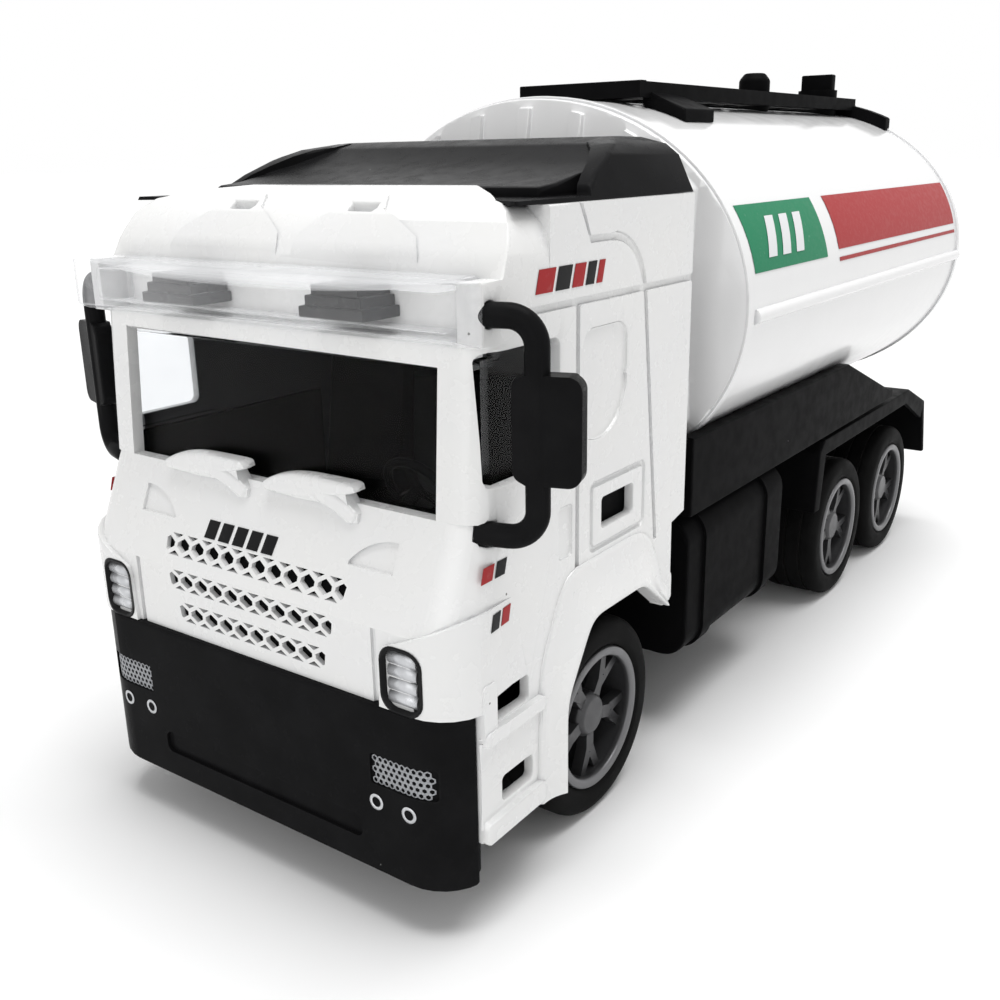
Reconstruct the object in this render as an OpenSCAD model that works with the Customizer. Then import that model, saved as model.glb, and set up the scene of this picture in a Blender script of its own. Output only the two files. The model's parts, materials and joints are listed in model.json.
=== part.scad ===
// Toy tanker truck with a forward-control cab, an oval tank and three rolling axles.
// Places along the truck are given as distances behind the bumper face.

/* [Layout] */
// Distance from the bumper face back to the tail of the frame
tail_d = 146; // [132:0.5:160]
// Distance from the bumper face back to the front axle
front_axle_d = 27.2; // [26.8:0.1:27.6]
// Distance from the rear axle back to the tail of the frame
rear_overhang = 19.8; // [19:0.1:20.6]
// Distance between the two rear axles
bogie_pitch = 24.9; // [24.4:0.1:25.6]

/* [Cab] */
// Width across the cab's sides
cab_w = 50; // [49:0.25:52]
// Thickness of the cab casting's walls
cab_wall = 1.2; // [0.9:0.1:1.4]
// Distance from the bumper face back to the cab's nose
nose_d = 0.6; // [0.4:0.1:1]
// Height of the nose's lower edge, where the bumper ends
nose_low_z = 22.4; // [22:0.1:22.8]
// Height where the nose starts to lean back
nose_break_z = 29.5; // [29:0.1:30.5]
// Distance from the bumper face back to the foot of the windscreen
screen_low_d = 4.6; // [4.2:0.1:5]
// Distance from the bumper face back to the top of the windscreen face
screen_top_d = 5.6; // [5.3:0.1:6]
// Height of the windscreen opening's lower edge
screen_low_z = 38.9; // [38.5:0.1:39.5]
// Height of the windscreen opening
screen_h = 13.1; // [12:0.1:13.4]
// Width of the windscreen opening
screen_w = 40.6; // [38:0.2:41]
// Height of the ledge under the sun visor
visor_low_z = 53.7; // [53.5:0.1:54.2]
// Height of the visor's top face
visor_top_z = 59; // [58.4:0.1:59.6]
// Distance from the bumper face back to the wall behind the visor
visor_back_d = 8.2; // [7.8:0.1:8.8]
// Height of the flat roof that carries the spoiler
roof_z = 64.2; // [63.6:0.1:65]
// Rise of the roof's front crest above the flat roof
crest_h = 1.4; // [1:0.1:1.8]
// Distance from the bumper face back to the cab's rear wall
cab_back_d = 42; // [41.6:0.1:43]
// Radius of the nose's upright corners
nose_r = 5; // [4:0.1:5.4]
// Radius of the windscreen pillars' corners
pillar_r = 3.2; // [2.4:0.1:3.6]

/* [Cab sides] */
// Distance from the bumper face back to the side window's front edge
window_front_d = 6; // [5.9:0.1:6.6]
// Length of the side window
window_l = 10.7; // [10:0.1:12]
// Height of the side window's sill
window_low_z = 41.9; // [41.5:0.1:43]
// Height of the side window
window_h = 11.2; // [10:0.1:11.4]
// Distance from the bumper face back to the door's rear groove
door_back_d = 19.6; // [19.2:0.1:20]
// Height of the groove along the top of the door
door_top_z = 55.8; // [55:0.1:56.5]
// Width of the panel grooves
groove_w = 0.7; // [0.4:0.1:0.9]
// Depth of the panel grooves
groove_depth = 0.35; // [0.2:0.05:0.5]
// How far the wheel arch's lip stands out of the side
lip_out = 0.5; // [0.3:0.1:0.8]
// Height of the lowest edge of the entry steps
step_low_z = 8.8; // [8:0.1:9.5]

/* [Grille] */
// Distance between neighbouring cells of the honeycomb
cell_pitch = 2.16; // [2:0.02:2.3]
// Thickness of the webs between cells
cell_web = 0.42; // [0.3:0.02:0.55]
// Height of each grille band
band_h = 2.02; // [1.9:0.02:2.3]
// Height of the lowest band's middle
band_low_z = 24.9; // [24.6:0.1:25.2]
// Distance between the bands
band_pitch = 3.35; // [3.1:0.05:3.5]

/* [Wheels] */
// Radius of the tyres
tyre_r = 10.9; // [10.6:0.1:11.2]
// Width of the tyres
tyre_w = 9.4; // [8.5:0.1:9.8]
// Radius of the rims, where the tyres sit
rim_r = 7.8; // [7.2:0.1:8.2]
// Half of the distance between the wheels' outer faces
wheel_face_y = 23.4; // [23:0.1:23.5]
// Radius of the steel axles
axle_r = 1.1; // [0.9:0.05:1.3]
// Number of forked spokes in a rim
spoke_count = 5; // [4:1:7]
// Radius of the wheel hubs
hub_r = 2.5; // [2.2:0.1:3]

/* [Frame] */
// Height of the frame's underside
frame_low_z = 8; // [7.4:0.1:8.2]
// Height of the frame's side rails
rail_h = 11; // [10.5:0.1:11.5]
// Width across the frame's side rails
frame_w = 22; // [21:0.2:23]
// Thickness of a side rail
rail_w = 4; // [3.8:0.1:4.6]
// Thickness of the frame's floor
floor_t = 1.4; // [1:0.1:1.5]
// Gap between the fuel tanks and the mudguards
fuel_gap = 11.6; // [5:0.1:16]
// Height of the bumper's lower edge
bumper_low_z = 5; // [4.5:0.1:6]
// Front to back depth of the bumper
bumper_l = 5.5; // [5:0.1:6]

/* [Tank] */
// Width of the oval tank
tank_w = 55.6; // [53:0.2:57]
// Height of the oval tank
tank_h = 45.8; // [44:0.2:47]
// Height of the tank's middle
tank_mid_z = 51.4; // [50.6:0.1:52.4]
// Thickness of the tank's wall
tank_wall = 1.4; // [1:0.1:1.8]
// Gap between the roof spoiler and the tank's front head
tank_gap = 3; // [2.2:0.1:4]
// Distance from the barrel's rear edge back to the tail of the frame
tank_overhang = 7; // [6:0.2:9]
// How far the front head bulges
front_bulge = 3.6; // [3:0.1:4.5]
// How far the rear head bulges
rear_bulge = 4.4; // [3.5:0.1:5]
// Number of upright ribs on the front head
head_ribs = 7; // [5:2:9]
// Height of the cradle's side skirts
cradle_top_z = 37.5; // [36:0.1:38]

/* [Catwalk] */
// Half of the distance between the catwalk's rails
catwalk_y = 8; // [7:0.1:9]
// Distance from the barrel's front edge back to the catwalk's front bar
catwalk_front_gap = 10.6; // [8:0.2:14]
// Distance from the catwalk's rear hoop back to the barrel's rear edge
catwalk_back_gap = 1.4; // [1.2:0.1:4]
// Thickness of the catwalk's bars
catwalk_bar = 1.4; // [1:0.1:1.6]
// Radius of the front filler cap
cap_r = 2.3; // [2:0.1:2.6]
// Radius of the rear manhole lid
lid_r = 3.2; // [2.8:0.1:3.4]

/* [Mirrors] */
// Distance from the bumper face back to the mirror arms
mirror_d = 6.5; // [6.3:0.1:6.8]
// Radius of the mirror arms
arm_r = 1.05; // [0.9:0.05:1.15]
// How far the arms stand out of the cab's sides
arm_out = 3.8; // [3.5:0.1:4.5]
// Width of the mirror heads
mirror_w = 5.9; // [5:0.1:6.2]
// Height of the mirror heads
mirror_h = 9; // [8.5:0.1:10]
// Angle by which the mirrors sweep back
mirror_sweep = 18; // [12:1:22]

/* [Clearances] */
// Radial running clearance of the axles in the frame
axle_clear = 0.08; // [0.04:0.01:0.1]
// Clearance between pieces that are pushed together
seat_clear = 0.05; // [0.03:0.01:0.08]
// Least gap between a wheel and what stands beside it
wheel_clear = 0.3; // [0.3:0.05:0.4]

/* [Hidden] */
$fn = 48;

half_w = cab_w / 2;
inner_y = half_w - cab_wall;
big = 300;
eps = 0.01;
// Cheeks of the cab beside the visor, and the stubs of the mirror arms in them
cheek_d = mirror_d - arm_r - 0.5;
cheek_y = half_w - 2.15;
stub_l = 1.6;
mirror_top_z = visor_top_z - 2.75;
mirror_low_z = screen_low_z - 0.9;
// Heights and ends that several pieces share
frame_top_z = frame_low_z + rail_h;
rail_y = frame_w / 2;
rail_mid_y = rail_y - rail_w / 2;
screen_top_z = screen_low_z + screen_h;
window_top_z = window_low_z + window_h;
window_back_d = window_front_d + window_l;
rear_axle_d = tail_d - rear_overhang;
middle_axle_d = rear_axle_d - bogie_pitch;
spoiler_over = 1.4;
tank_front_d = cab_back_d + spoiler_over + tank_gap + front_bulge;
tank_back_d = tail_d - tank_overhang;
barrel_l = tank_back_d - tank_front_d;
tank_low_z = tank_mid_z - tank_h / 2;
tank_top_z = tank_mid_z + tank_h / 2;
rim_rise = 0.3;
rim_band = 1.4;
catwalk_front_d = tank_front_d + catwalk_front_gap;
catwalk_back_d = tank_back_d - catwalk_back_gap;
catwalk_l = catwalk_back_d - catwalk_front_d;
screen_slope = (screen_top_d - screen_low_d) / (visor_low_z - screen_low_z);
// Places of the posts that the screws pull on
post_r = 2;
pilot_r = 0.75;
screw_hole_r = 0.95;
screw_head_r = 1.6;
screw_head_h = 1.2;
screw_grip = 9;
cab_post_d = cab_back_d - 4;
tank_post_front_d = tank_front_d + 14;
tank_post_back_d = (middle_axle_d + rear_axle_d) / 2;
// Floor of the cab's interior, over the front wheels
cab_floor_z = 2 * tyre_r + 4.1;
cab_floor_t = 1.3;
dash_z = screen_low_z - 2;
// Wheel arch and step outline
arch_front_d = front_axle_d - tyre_r - wheel_clear;
arch_top_z = 2 * tyre_r + 3.8;
arch_back_d = front_axle_d + 9.3;
step_front_d = 3.9;
guard_top_z = 2 * tyre_r + 5.8;
guard_t = 1.2;
guard_in_y = rail_y + 1.2;
guard_out_y = half_w - 1;
guard_front_d = middle_axle_d - tyre_r - 2.8;
cradle_front_d = tank_front_d - 4;
cradle_back_d = rear_axle_d - 4.2;
fuel_front_d = cab_back_d + 5;
fuel_l = guard_front_d - fuel_gap - fuel_front_d;
// Grille's webs are this deep, with the interior's dark pad behind them
grille_t = 0.5;
grille_low_z = band_low_z - band_h / 2 - 0.3;
grille_top_z = band_low_z + 2 * band_pitch + band_h / 2 + 0.3;
grille_y = 6 * cell_pitch + 0.6;
nose_lean = (screen_low_d - nose_d) / (screen_low_z - nose_break_z);
// Distance behind the bumper, sideways place and radius of the holes for the two lids on the tank
cap_places = [[catwalk_front_d + 0.557 * catwalk_l, catwalk_y * 0.55, cap_r + 0.4],
    [catwalk_back_d - lid_r - 4, catwalk_y * 0.55, lid_r + 0.4]];

// Row X of a place that lies d behind the bumper face
function ax(d) = tail_d / 2 - d;
// Points on a circular arc
function arc(cx, cy, r, a0, a1, n = 6) =
    [for (i = [0:n]) let (a = a0 + (a1 - a0) * i / n) [cx + r * cos(a), cy + r * sin(a)]];
// Points on the tank's oval, grown outwards by g
function oval(g = 0, n = 96) =
    [for (i = [0:n - 1]) let (a = 360 * i / n)
        [(tank_w / 2 + g) * cos(a), tank_mid_z + (tank_h / 2 + g) * sin(a)]];
// Distance behind the bumper of the windscreen face at height z
function screen_d(z) = screen_low_d + (z - screen_low_z) * screen_slope;

// Extrudes a drawing in (distance behind bumper, height) from y0 to y1
module across(y0, y1) {
    translate([tail_d / 2, y1, 0])
        mirror([1, 0, 0])
            rotate([90, 0, 0])
                linear_extrude(y1 - y0)
                    children();
}

// Extrudes a drawing in (sideways, height) between two distances behind the bumper
module along(d0, d1) {
    translate([ax(d1), 0, 0])
        rotate([90, 0, 90])
            linear_extrude(d1 - d0)
                children();
}

// Draws a piece and its mirror image on the other side
module both_sides() {
    children();
    mirror([0, 1, 0])
        children();
}

// Rectangle between two corners
module span(p, q) {
    translate([p[0], p[1]])
        square([q[0] - p[0], q[1] - p[1]]);
}

// Rectangle between two corners, with round corners of true arcs
module soft_span(p, q, r) {
    span([p[0] + r, p[1]], [q[0] - r, q[1]]);
    span([p[0], p[1] + r], [q[0], q[1] - r]);
    for (x = [p[0] + r, q[0] - r])
        for (y = [p[1] + r, q[1] - r])
            translate([x, y])
                circle(r);
}

// Cutter that rounds the left front edge between two points of the side profile
module edge_round(p, q, r, out, z0, z1) {
    lean = -atan2(q[0] - p[0], q[1] - p[1]);
    run = norm(q - p);
    outline = concat([[2, 2], [-r, 2]], arc(-r, -r, r, 90, 0), [[2, -r]]);
    intersection() {
        translate([ax(p[0]), out, p[1]])
            rotate([0, lean, 0])
                translate([0, 0, -r])
                    linear_extrude(run + 2 * r)
                        polygon(outline);
        translate([-big, -big, z0])
            cube([2 * big, 2 * big, z1 - z0]);
    }
}

// Side view of the cab from nose to rear wall
module cab_profile() {
    polygon([
        [nose_d, 21], [nose_d, nose_break_z], [screen_low_d, screen_low_z],
        [screen_top_d, visor_low_z], [visor_back_d, visor_low_z], [visor_back_d, visor_top_z - 0.2],
        [visor_back_d + 1, roof_z - 3.4], [visor_back_d + 2.4, roof_z - 1.2],
        [visor_back_d + 4.2, roof_z + crest_h * 0.2], [visor_back_d + 6.6, roof_z + crest_h * 0.7],
        [visor_back_d + 10.8, roof_z + crest_h], [visor_back_d + 11.2, roof_z + crest_h],
        [visor_back_d + 11.2, roof_z], [cab_back_d, roof_z], [cab_back_d, 21]]);
}

// Side view of the space inside the cab
module cab_cavity_profile() {
    w = cab_wall + 0.1;
    polygon([
        [nose_d + w, 0], [nose_d + w, nose_break_z], [screen_low_d + w, screen_low_z],
        [screen_d(screen_top_z) + w, screen_top_z + 0.3], [visor_back_d + w, screen_top_z + 0.3],
        [visor_back_d + w, visor_top_z - 0.7], [visor_back_d + w + 3.1, roof_z - 2],
        [cab_back_d - w, roof_z - 2], [cab_back_d - w, 0]]);
}

// Plan of the flat roof beside the crest, drawn in by t
module crest_side(t) {
    polygon([[ax(visor_back_d + 3 + t), half_w + 2], [ax(visor_back_d + 3 + t), half_w - 0.5],
        [ax(visor_back_d + 4.8 + t), half_w - 4 + t], [ax(visor_back_d + 11.2 + t), half_w - 10.5 + t],
        [ax(cab_back_d + 4), half_w - 10.5 + t], [ax(cab_back_d + 4), half_w + 2]]);
}

// Cab block with rounded nose, pillars and roof shoulders
module cab_block() {
    foot = [nose_d, 21];
    knee = [nose_d, nose_break_z];
    belt = [screen_low_d, screen_low_z];
    brow = [screen_top_d, visor_low_z];
    shoulder_y = half_w - 4;
    shoulder_h = roof_z + 0.4 - visor_top_z;
    difference() {
        union() {
            across(-half_w, half_w)
                cab_profile();
            both_sides()
                across(cheek_y, half_w)
                    span([cheek_d, visor_low_z - eps], [visor_back_d + 1, visor_top_z - 0.2]);
        }
        both_sides() {
            edge_round([cheek_d, visor_low_z], [cheek_d, visor_top_z], 1, half_w,
                visor_low_z, visor_top_z);
            edge_round(foot, knee, nose_r, half_w, 0, nose_break_z + 2);
            edge_round(knee, belt, pillar_r + 0.4, half_w, nose_break_z, screen_low_z);
            edge_round(belt, brow, pillar_r, half_w, screen_low_z, visor_low_z);
            along(-1, visor_back_d + 6.9)
                polygon(concat([[half_w + 2, visor_top_z], [half_w + 2, roof_z + 5],
                    [shoulder_y, roof_z + 5]],
                    [for (a = [90:-15:0]) [shoulder_y + 4 * cos(a), visor_top_z + shoulder_h * sin(a)]]));
            translate([0, 0, roof_z])
                linear_extrude(5)
                    crest_side(0);
        }
    }
}

// Outline of the front wheel's arch, grown by g
module arch_outline(g = 0) {
    polygon([
        [arch_front_d - g, -1], [arch_front_d - g * 0.9, arch_top_z - 7.1],
        [arch_front_d + 4.6 - g * 0.6, arch_top_z + g],
        [front_axle_d + 3.9 + g * 0.3, arch_top_z + g], [arch_back_d + g * 0.6, arch_top_z - 4.4 + g * 0.6],
        [arch_back_d + g, -1]]);
}

// Raised band round the wheel arch, and the entry steps in front of it
module arch_and_steps() {
    for (lip = [[4.4, 0.3], [3.2, 0.7], [2, 1]])
        across(inner_y, half_w + lip[1] * lip_out)
            difference() {
                intersection() {
                    arch_outline(lip[0]);
                    union() {
                        span([step_front_d, step_low_z + 10], [front_axle_d, 40]);
                        span([arch_front_d - 3, step_low_z], [front_axle_d, 40]);
                        span([front_axle_d, 21], [cab_back_d - 2.8, 29.6]);
                    }
                }
                arch_outline();
            }
    across(inner_y, half_w)
        polygon([[step_front_d, step_low_z + 0.6], [step_front_d, nose_low_z + 2.6],
            [arch_front_d, nose_low_z + 2.6], [arch_front_d, step_low_z]]);
    for (tread = [[step_low_z + 10.2, 1.4], [step_low_z + 0.4, 2.2]])
        across(half_w - eps, half_w + 0.7)
            soft_span([step_front_d, tread[0]], [arch_front_d - 2.6, tread[0] + tread[1]], 0.6);
    across(half_w - eps, half_w + 0.5)
        soft_span([step_front_d, step_low_z + 10.8], [step_front_d + 1.9, nose_low_z + 2.6], 0.5);
}

// Openings between the entry steps
module step_openings() {
    across(inner_y - 2, half_w + 2) {
        soft_span([step_front_d + 2.1, step_low_z + 11.8], [step_front_d + 7.5, step_low_z + 14.3], 0.4);
        soft_span([step_front_d + 3.2, step_low_z + 3.3], [step_front_d + 8.1, step_low_z + 5.8], 0.5);
    }
}

// Bulge on the nose's corner that carries the headlamp
module lamp_pod() {
    grow = 0.45;
    top_in = nose_break_z - 1.3;
    intersection() {
        difference() {
            along(nose_d - grow, 9.5)
                polygon([[half_w - 8.2, nose_low_z], [half_w + grow, nose_low_z],
                    [half_w + grow, top_in + 3.6], [half_w - 7.6, top_in]]);
            edge_round([nose_d - grow, 20], [nose_d - grow, 40], nose_r, half_w + grow, 0, 60);
        }
        translate([0, 0, nose_low_z])
            linear_extrude(20)
                polygon([[ax(-1), half_w - 9], [ax(-1), half_w + 1], [ax(4.5), half_w + grow],
                    [ax(9.4), half_w - 0.05], [ax(9.4), half_w - 3], [ax(6), half_w - 9]]);
    }
}

// Recess and ribbed lens of a headlamp, as a negative and a positive
module headlamp_recess() {
    along(nose_d - 2, nose_d + 0.1)
        soft_span([half_w - 7.6, nose_low_z + 0.2], [half_w - 3.6, nose_low_z + 5.9], 1.3);
}

module headlamp_lens() {
    lens_w = 3;
    for (i = [0:3])
        translate([ax(nose_d + 0.5), half_w - 5.6, nose_low_z + 1.2 + i * 1.25])
            rotate([90, 0, 0])
                cylinder(r = 0.72, h = lens_w, center = true);
}

// Flattened cells of one band, with a triangle over and under each web, cut through the nose
module honeycomb(cells, z) {
    half = (cell_pitch - cell_web) / 2;
    side = 0.09 * cell_pitch;
    peak = 0.32 * cell_pitch;
    slope = (peak - side) / half;
    tip = peak + cell_web * sqrt(1 + slope * slope) - slope * cell_pitch / 2;
    rise = band_h / 2 - tip;
    end_y = (cells / 2 + 0.08) * cell_pitch;
    along(nose_d - 1, nose_d + cab_wall + 2.6)
        intersection() {
            polygon([[-end_y, z - band_h / 2], [end_y, z - band_h / 2], [end_y + 0.3, z + band_h / 2],
                [-end_y - 0.3, z + band_h / 2]]);
            for (i = [0:cells])
                translate([(i - cells / 2) * cell_pitch, z]) {
                    polygon([[half, -side], [half, side], [0, peak], [-half, side], [-half, -side],
                        [0, -peak]]);
                    if (i < cells)
                        for (turn = [0, 180])
                            translate([cell_pitch / 2, 0])
                                rotate(turn)
                                    polygon([[0, tip], [rise / slope, band_h / 2],
                                        [-rise / slope, band_h / 2]]);
                }
        }
}

// Side view of the space behind the grille's thin webs, drawn in by t
module grille_pad(t) {
    front = nose_d + grille_t + t;
    back = nose_d + cab_wall + 2.4;
    top = grille_top_z - t;
    polygon([[front, grille_low_z + t], [front, nose_break_z],
        [front + (top - nose_break_z) * nose_lean, top], [back + 1, top], [back, grille_low_z + t]]);
}

// One windscreen wiper of the casting, with its swept blade and its pivot arm
module wiper(y0) {
    blade = [[-5.2, -0.3], [-5, 0.6], [-3.4, 1.25], [-1.1, 1.75], [2.5, 2], [5.2, 2], [6.2, 1.7], [6.3, 1.3],
        [5, 1], [5.6, 0.1], [6.5, -0.7], [6.5, -1.5], [5.2, -1.7], [3.3, -0.6], [2.4, -0.4], [-1, -0.5]];
    translate([0, 0, screen_low_z])
        along(screen_low_d - 0.9, screen_low_d + 0.7)
            polygon([for (p = blade) [y0 + p[0], p[1]]]);
}

// Panel grooves in the cab's left side
module side_grooves() {
    y0 = half_w - groove_depth;
    g = groove_w / 2;
    bow_d = door_back_d + 12.3;
    across(y0, half_w + 1) {
        span([visor_back_d + 2, door_top_z - g], [cab_back_d + 1, door_top_z + g]);
        span([door_back_d - g, nose_break_z - 0.1], [door_back_d + g, door_top_z]);
        polygon([[bow_d - g, door_top_z], [bow_d + g, door_top_z], [bow_d + 3.4 + g, nose_break_z - 0.5],
            [bow_d + 3.4 - g, nose_break_z - 0.5]]);
        difference() {
            translate([bow_d - 6, door_top_z - 0.8])
                circle(6 + g);
            translate([bow_d - 6, door_top_z - 0.8])
                circle(6 - g);
            span([bow_d - 20, 0], [bow_d - 6, 80]);
            span([bow_d - 20, 0], [bow_d + 20, door_top_z]);
        }
        span([bow_d - 10.2, door_top_z + 5.2 - g], [bow_d - 6, door_top_z + 5.2 + g]);
        polygon([[bow_d - 10.2, door_top_z + 5.2 - g], [bow_d - 10.2, door_top_z + 5.2 + g],
            [bow_d - 12.4 + g, roof_z + 1], [bow_d - 12.4 - g, roof_z + 1]]);
        intersection() {
            translate([door_back_d + 3.8, window_low_z + 5.9])
                circle(5.2);
            span([door_back_d + 1, window_low_z - 1.9], [door_back_d + 12, window_low_z + 6.1]);
        }
        soft_span([door_back_d + 1, window_low_z + 5.1], [door_back_d + 9, window_top_z], 1.7);
        span([door_back_d + 1, window_low_z + 1.5], [door_back_d + 3, window_low_z + 8.1]);
        soft_span([door_back_d - 3, nose_break_z + 2.9], [door_back_d - 0.8, nose_break_z + 7.9], 0.4);
        difference() {
            soft_span([door_back_d + 2.4, nose_break_z + 1.9], [door_back_d + 13.2, nose_break_z + 8.9], 0.8);
            soft_span([door_back_d + 2.9, nose_break_z + 2.4], [door_back_d + 12.7, nose_break_z + 8.4], 0.5);
        }
    }
}

// Openings through the cab's left side: window, slot in the pillar and vent hole
module side_openings() {
    across(inner_y - 1.5, half_w + 1) {
        soft_span([window_front_d, window_low_z], [window_back_d, window_top_z], 0.8);
        soft_span([door_back_d + 4.6, nose_break_z + 3.9], [door_back_d + 10.8, nose_break_z + 7], 0.4);
    }
    translate([ax(window_front_d - 0.65), half_w - 1.7, window_low_z + 1.4])
        rotate(-55)
            cube([0.9, 0.5, window_h - 1.3]);
}

// Raised panel on each side of the roof's front slope, narrowing up to a vent
module roof_panels() {
    foot_d = visor_back_d + 0.4;
    vent_d = visor_back_d + 3.4;
    both_sides()
        intersection() {
            across(0, half_w)
                translate([-0.1, 0.35])
                    cab_profile();
            translate([0, 0, visor_top_z])
                linear_extrude(8)
                    polygon([[ax(foot_d), 0.9], [ax(foot_d + 0.9), 1.4], [ax(vent_d - 0.6), 5],
                        [ax(vent_d + 1.2), 5.9], [ax(vent_d + 1.2), 9.6], [ax(vent_d - 0.6), 10.5],
                        [ax(foot_d + 0.9), 15.2], [ax(foot_d), 16]]);
        }
}

module roof_vents() {
    both_sides()
        translate([ax(visor_back_d + 3.2), 7.75, roof_z - 0.5])
            rotate([0, 27, 0])
                cube([1.1, 3.2, 1.6], center = true);
}

// Nose panel: lens-shaped sunk panel and step line beside the grille
module nose_lines() {
    across_in = half_w - 8.6;
    along(nose_d - 1, nose_d + groove_depth)
        span([across_in - 0.6, nose_low_z - 1], [across_in, nose_break_z]);
    intersection() {
        along(nose_d - 1, screen_low_d)
            difference() {
                translate([half_w - 8.2, screen_low_z - 9])
                    circle(6.6);
                span([half_w - 20, 0], [half_w - 13.2, 60]);
                span([half_w - 8, 0], [half_w, 60]);
                span([half_w - 20, 0], [half_w, screen_low_z - 5]);
            }
        across(-half_w, half_w)
            polygon([[nose_d - 1, nose_break_z], [nose_d + groove_depth, nose_break_z],
                [screen_low_d + groove_depth, screen_low_z], [screen_low_d - 1, screen_low_z]]);
    }
}

module cab_cavity() {
    pillar_in_y = half_w - pillar_r + 0.6;
    across(-screen_w / 2, screen_w / 2)
        cab_cavity_profile();
    across(-grille_y, grille_y)
        grille_pad(0);
    intersection() {
        across(-pillar_in_y, pillar_in_y)
            cab_cavity_profile();
        across(-half_w, half_w)
            span([screen_low_d + cab_wall, screen_low_z - 2.4], [cab_back_d, 80]);
    }
    intersection() {
        across(-inner_y, inner_y)
            cab_cavity_profile();
        across(-half_w, half_w)
            span([nose_d + nose_r + 1, 0], [cab_back_d, visor_top_z - 1]);
        across(-half_w, half_w)
            polygon([[nose_d + nose_r + 1, 0], [nose_d + nose_r + 1, nose_break_z],
                [screen_top_d + cab_wall + 0.8, screen_low_z], [screen_top_d + cab_wall + 0.8, 80],
                [cab_back_d, 80], [cab_back_d, 0]]);
    }
}

module cab_posts() {
    for (s = [-1, 1]) {
        difference() {
            union() {
                translate([ax(cab_post_d), s * rail_mid_y, frame_top_z])
                    cylinder(r = post_r, h = 24);
                translate([ax(cab_back_d - cab_wall / 2), s * rail_mid_y - 0.8, frame_top_z + 11])
                    cube([cab_back_d - cab_post_d - cab_wall / 2, 1.6, 13]);
            }
            translate([ax(cab_post_d), s * rail_mid_y, frame_top_z - 1])
                cylinder(r = pilot_r, h = screw_grip + 1.5);
        }
    }
}

// Cab with all its openings, without the wipers
module cab_casting() {
    difference() {
        union() {
            difference() {
                union() {
                    cab_block();
                    roof_panels();
                }
                cab_cavity();
            }
            both_sides() {
                arch_and_steps();
                difference() {
                    lamp_pod();
                    headlamp_recess();
                    cab_cavity();
                }
                headlamp_lens();
            }
            cab_posts();
        }
        across(-screen_w / 2, screen_w / 2)
            polygon([[screen_low_d - 3, screen_low_z], [screen_low_d + 0.2, screen_low_z],
                [screen_low_d + 3, screen_low_z], [screen_low_d + 4, screen_top_z],
                [screen_low_d - 3, screen_top_z]]);
        both_sides() {
            at_mirror()
                for (z = [mirror_top_z, mirror_low_z])
                    translate([0, -stub_l - seat_clear, z])
                        rotate([-90, 0, 0])
                            cylinder(r = arm_r + seat_clear, h = 6);
            side_openings();
            step_openings();
            side_grooves();
            nose_lines();
            across(0, half_w + 2)
                arch_outline();
        }
        across(-inner_y, inner_y)
            span([-1, 20], [arch_front_d, nose_low_z]);
        across(-half_w - 1, half_w + 1)
            span([-1, 20], [step_front_d, nose_low_z]);
        across(-half_w - 2, half_w + 2)
            polygon([[cab_back_d - 2.8, 0], [cab_back_d - 2.8, nose_break_z + 0.1],
                [cab_back_d + 1, nose_break_z + 0.9], [cab_back_d + 1, 0]]);
        roof_vents();
        for (row = [0:2])
            honeycomb(9 + row, band_low_z + row * band_pitch);
    }
}

module cab_shell() {
    color("white") {
        cab_casting();
        for (y0 = [-8.6, 5.6])
            wiper(y0);
    }
}

// Clear moulding behind the windscreen and the side windows
module cab_glazing() {
    t = 0.9;
    w = cab_wall + 0.1 + seat_clear;
    low = screen_low_z - 1.6;
    high = screen_top_z + 0.2;
    plate_z = window_top_z + 1.4;
    pane_y = half_w - pillar_r + 0.5;
    side_y = inner_y - seat_clear;
    color("lightsteelblue", 0.4) {
        across(-pane_y, pane_y)
            polygon([[screen_d(low) + w, low], [screen_d(high) + w, high], [visor_back_d + w + t, high],
                [visor_back_d + w + t, high - t], [screen_d(high) + w + t, high - t],
                [screen_d(low) + w + t, low]]);
        across(-pane_y, pane_y)
            span([visor_back_d + w, high - t], [visor_back_d + w + t, plate_z + t]);
        across(-side_y, side_y)
            span([visor_back_d + w, plate_z], [window_back_d + 1.6, plate_z + t]);
        both_sides()
            across(side_y - t, side_y)
                polygon([[screen_top_d + cab_wall + 0.9, window_low_z - 1.2],
                    [screen_top_d + cab_wall + 0.9, high], [visor_back_d + w, high],
                    [visor_back_d + w, plate_z + t], [window_back_d + 1.6, plate_z + t],
                    [window_back_d + 1.6, window_low_z - 1.2]]);
    }
}

// Steering wheel on its column, in front of the left seat
module steering_wheel() {
    translate([ax(window_front_d + 8.8), 10, dash_z + 0.4])
        rotate([0, -62, 0]) {
            rotate_extrude()
                translate([3.6, 0])
                    circle(0.45);
            translate([0, 0, -4.2])
                cylinder(r = 0.7, h = 4.5);
            for (a = [0, 120, 240])
                rotate(a)
                    translate([0, -0.35, -0.3])
                        cube([3.6, 0.7, 0.6]);
        }
}

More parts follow.
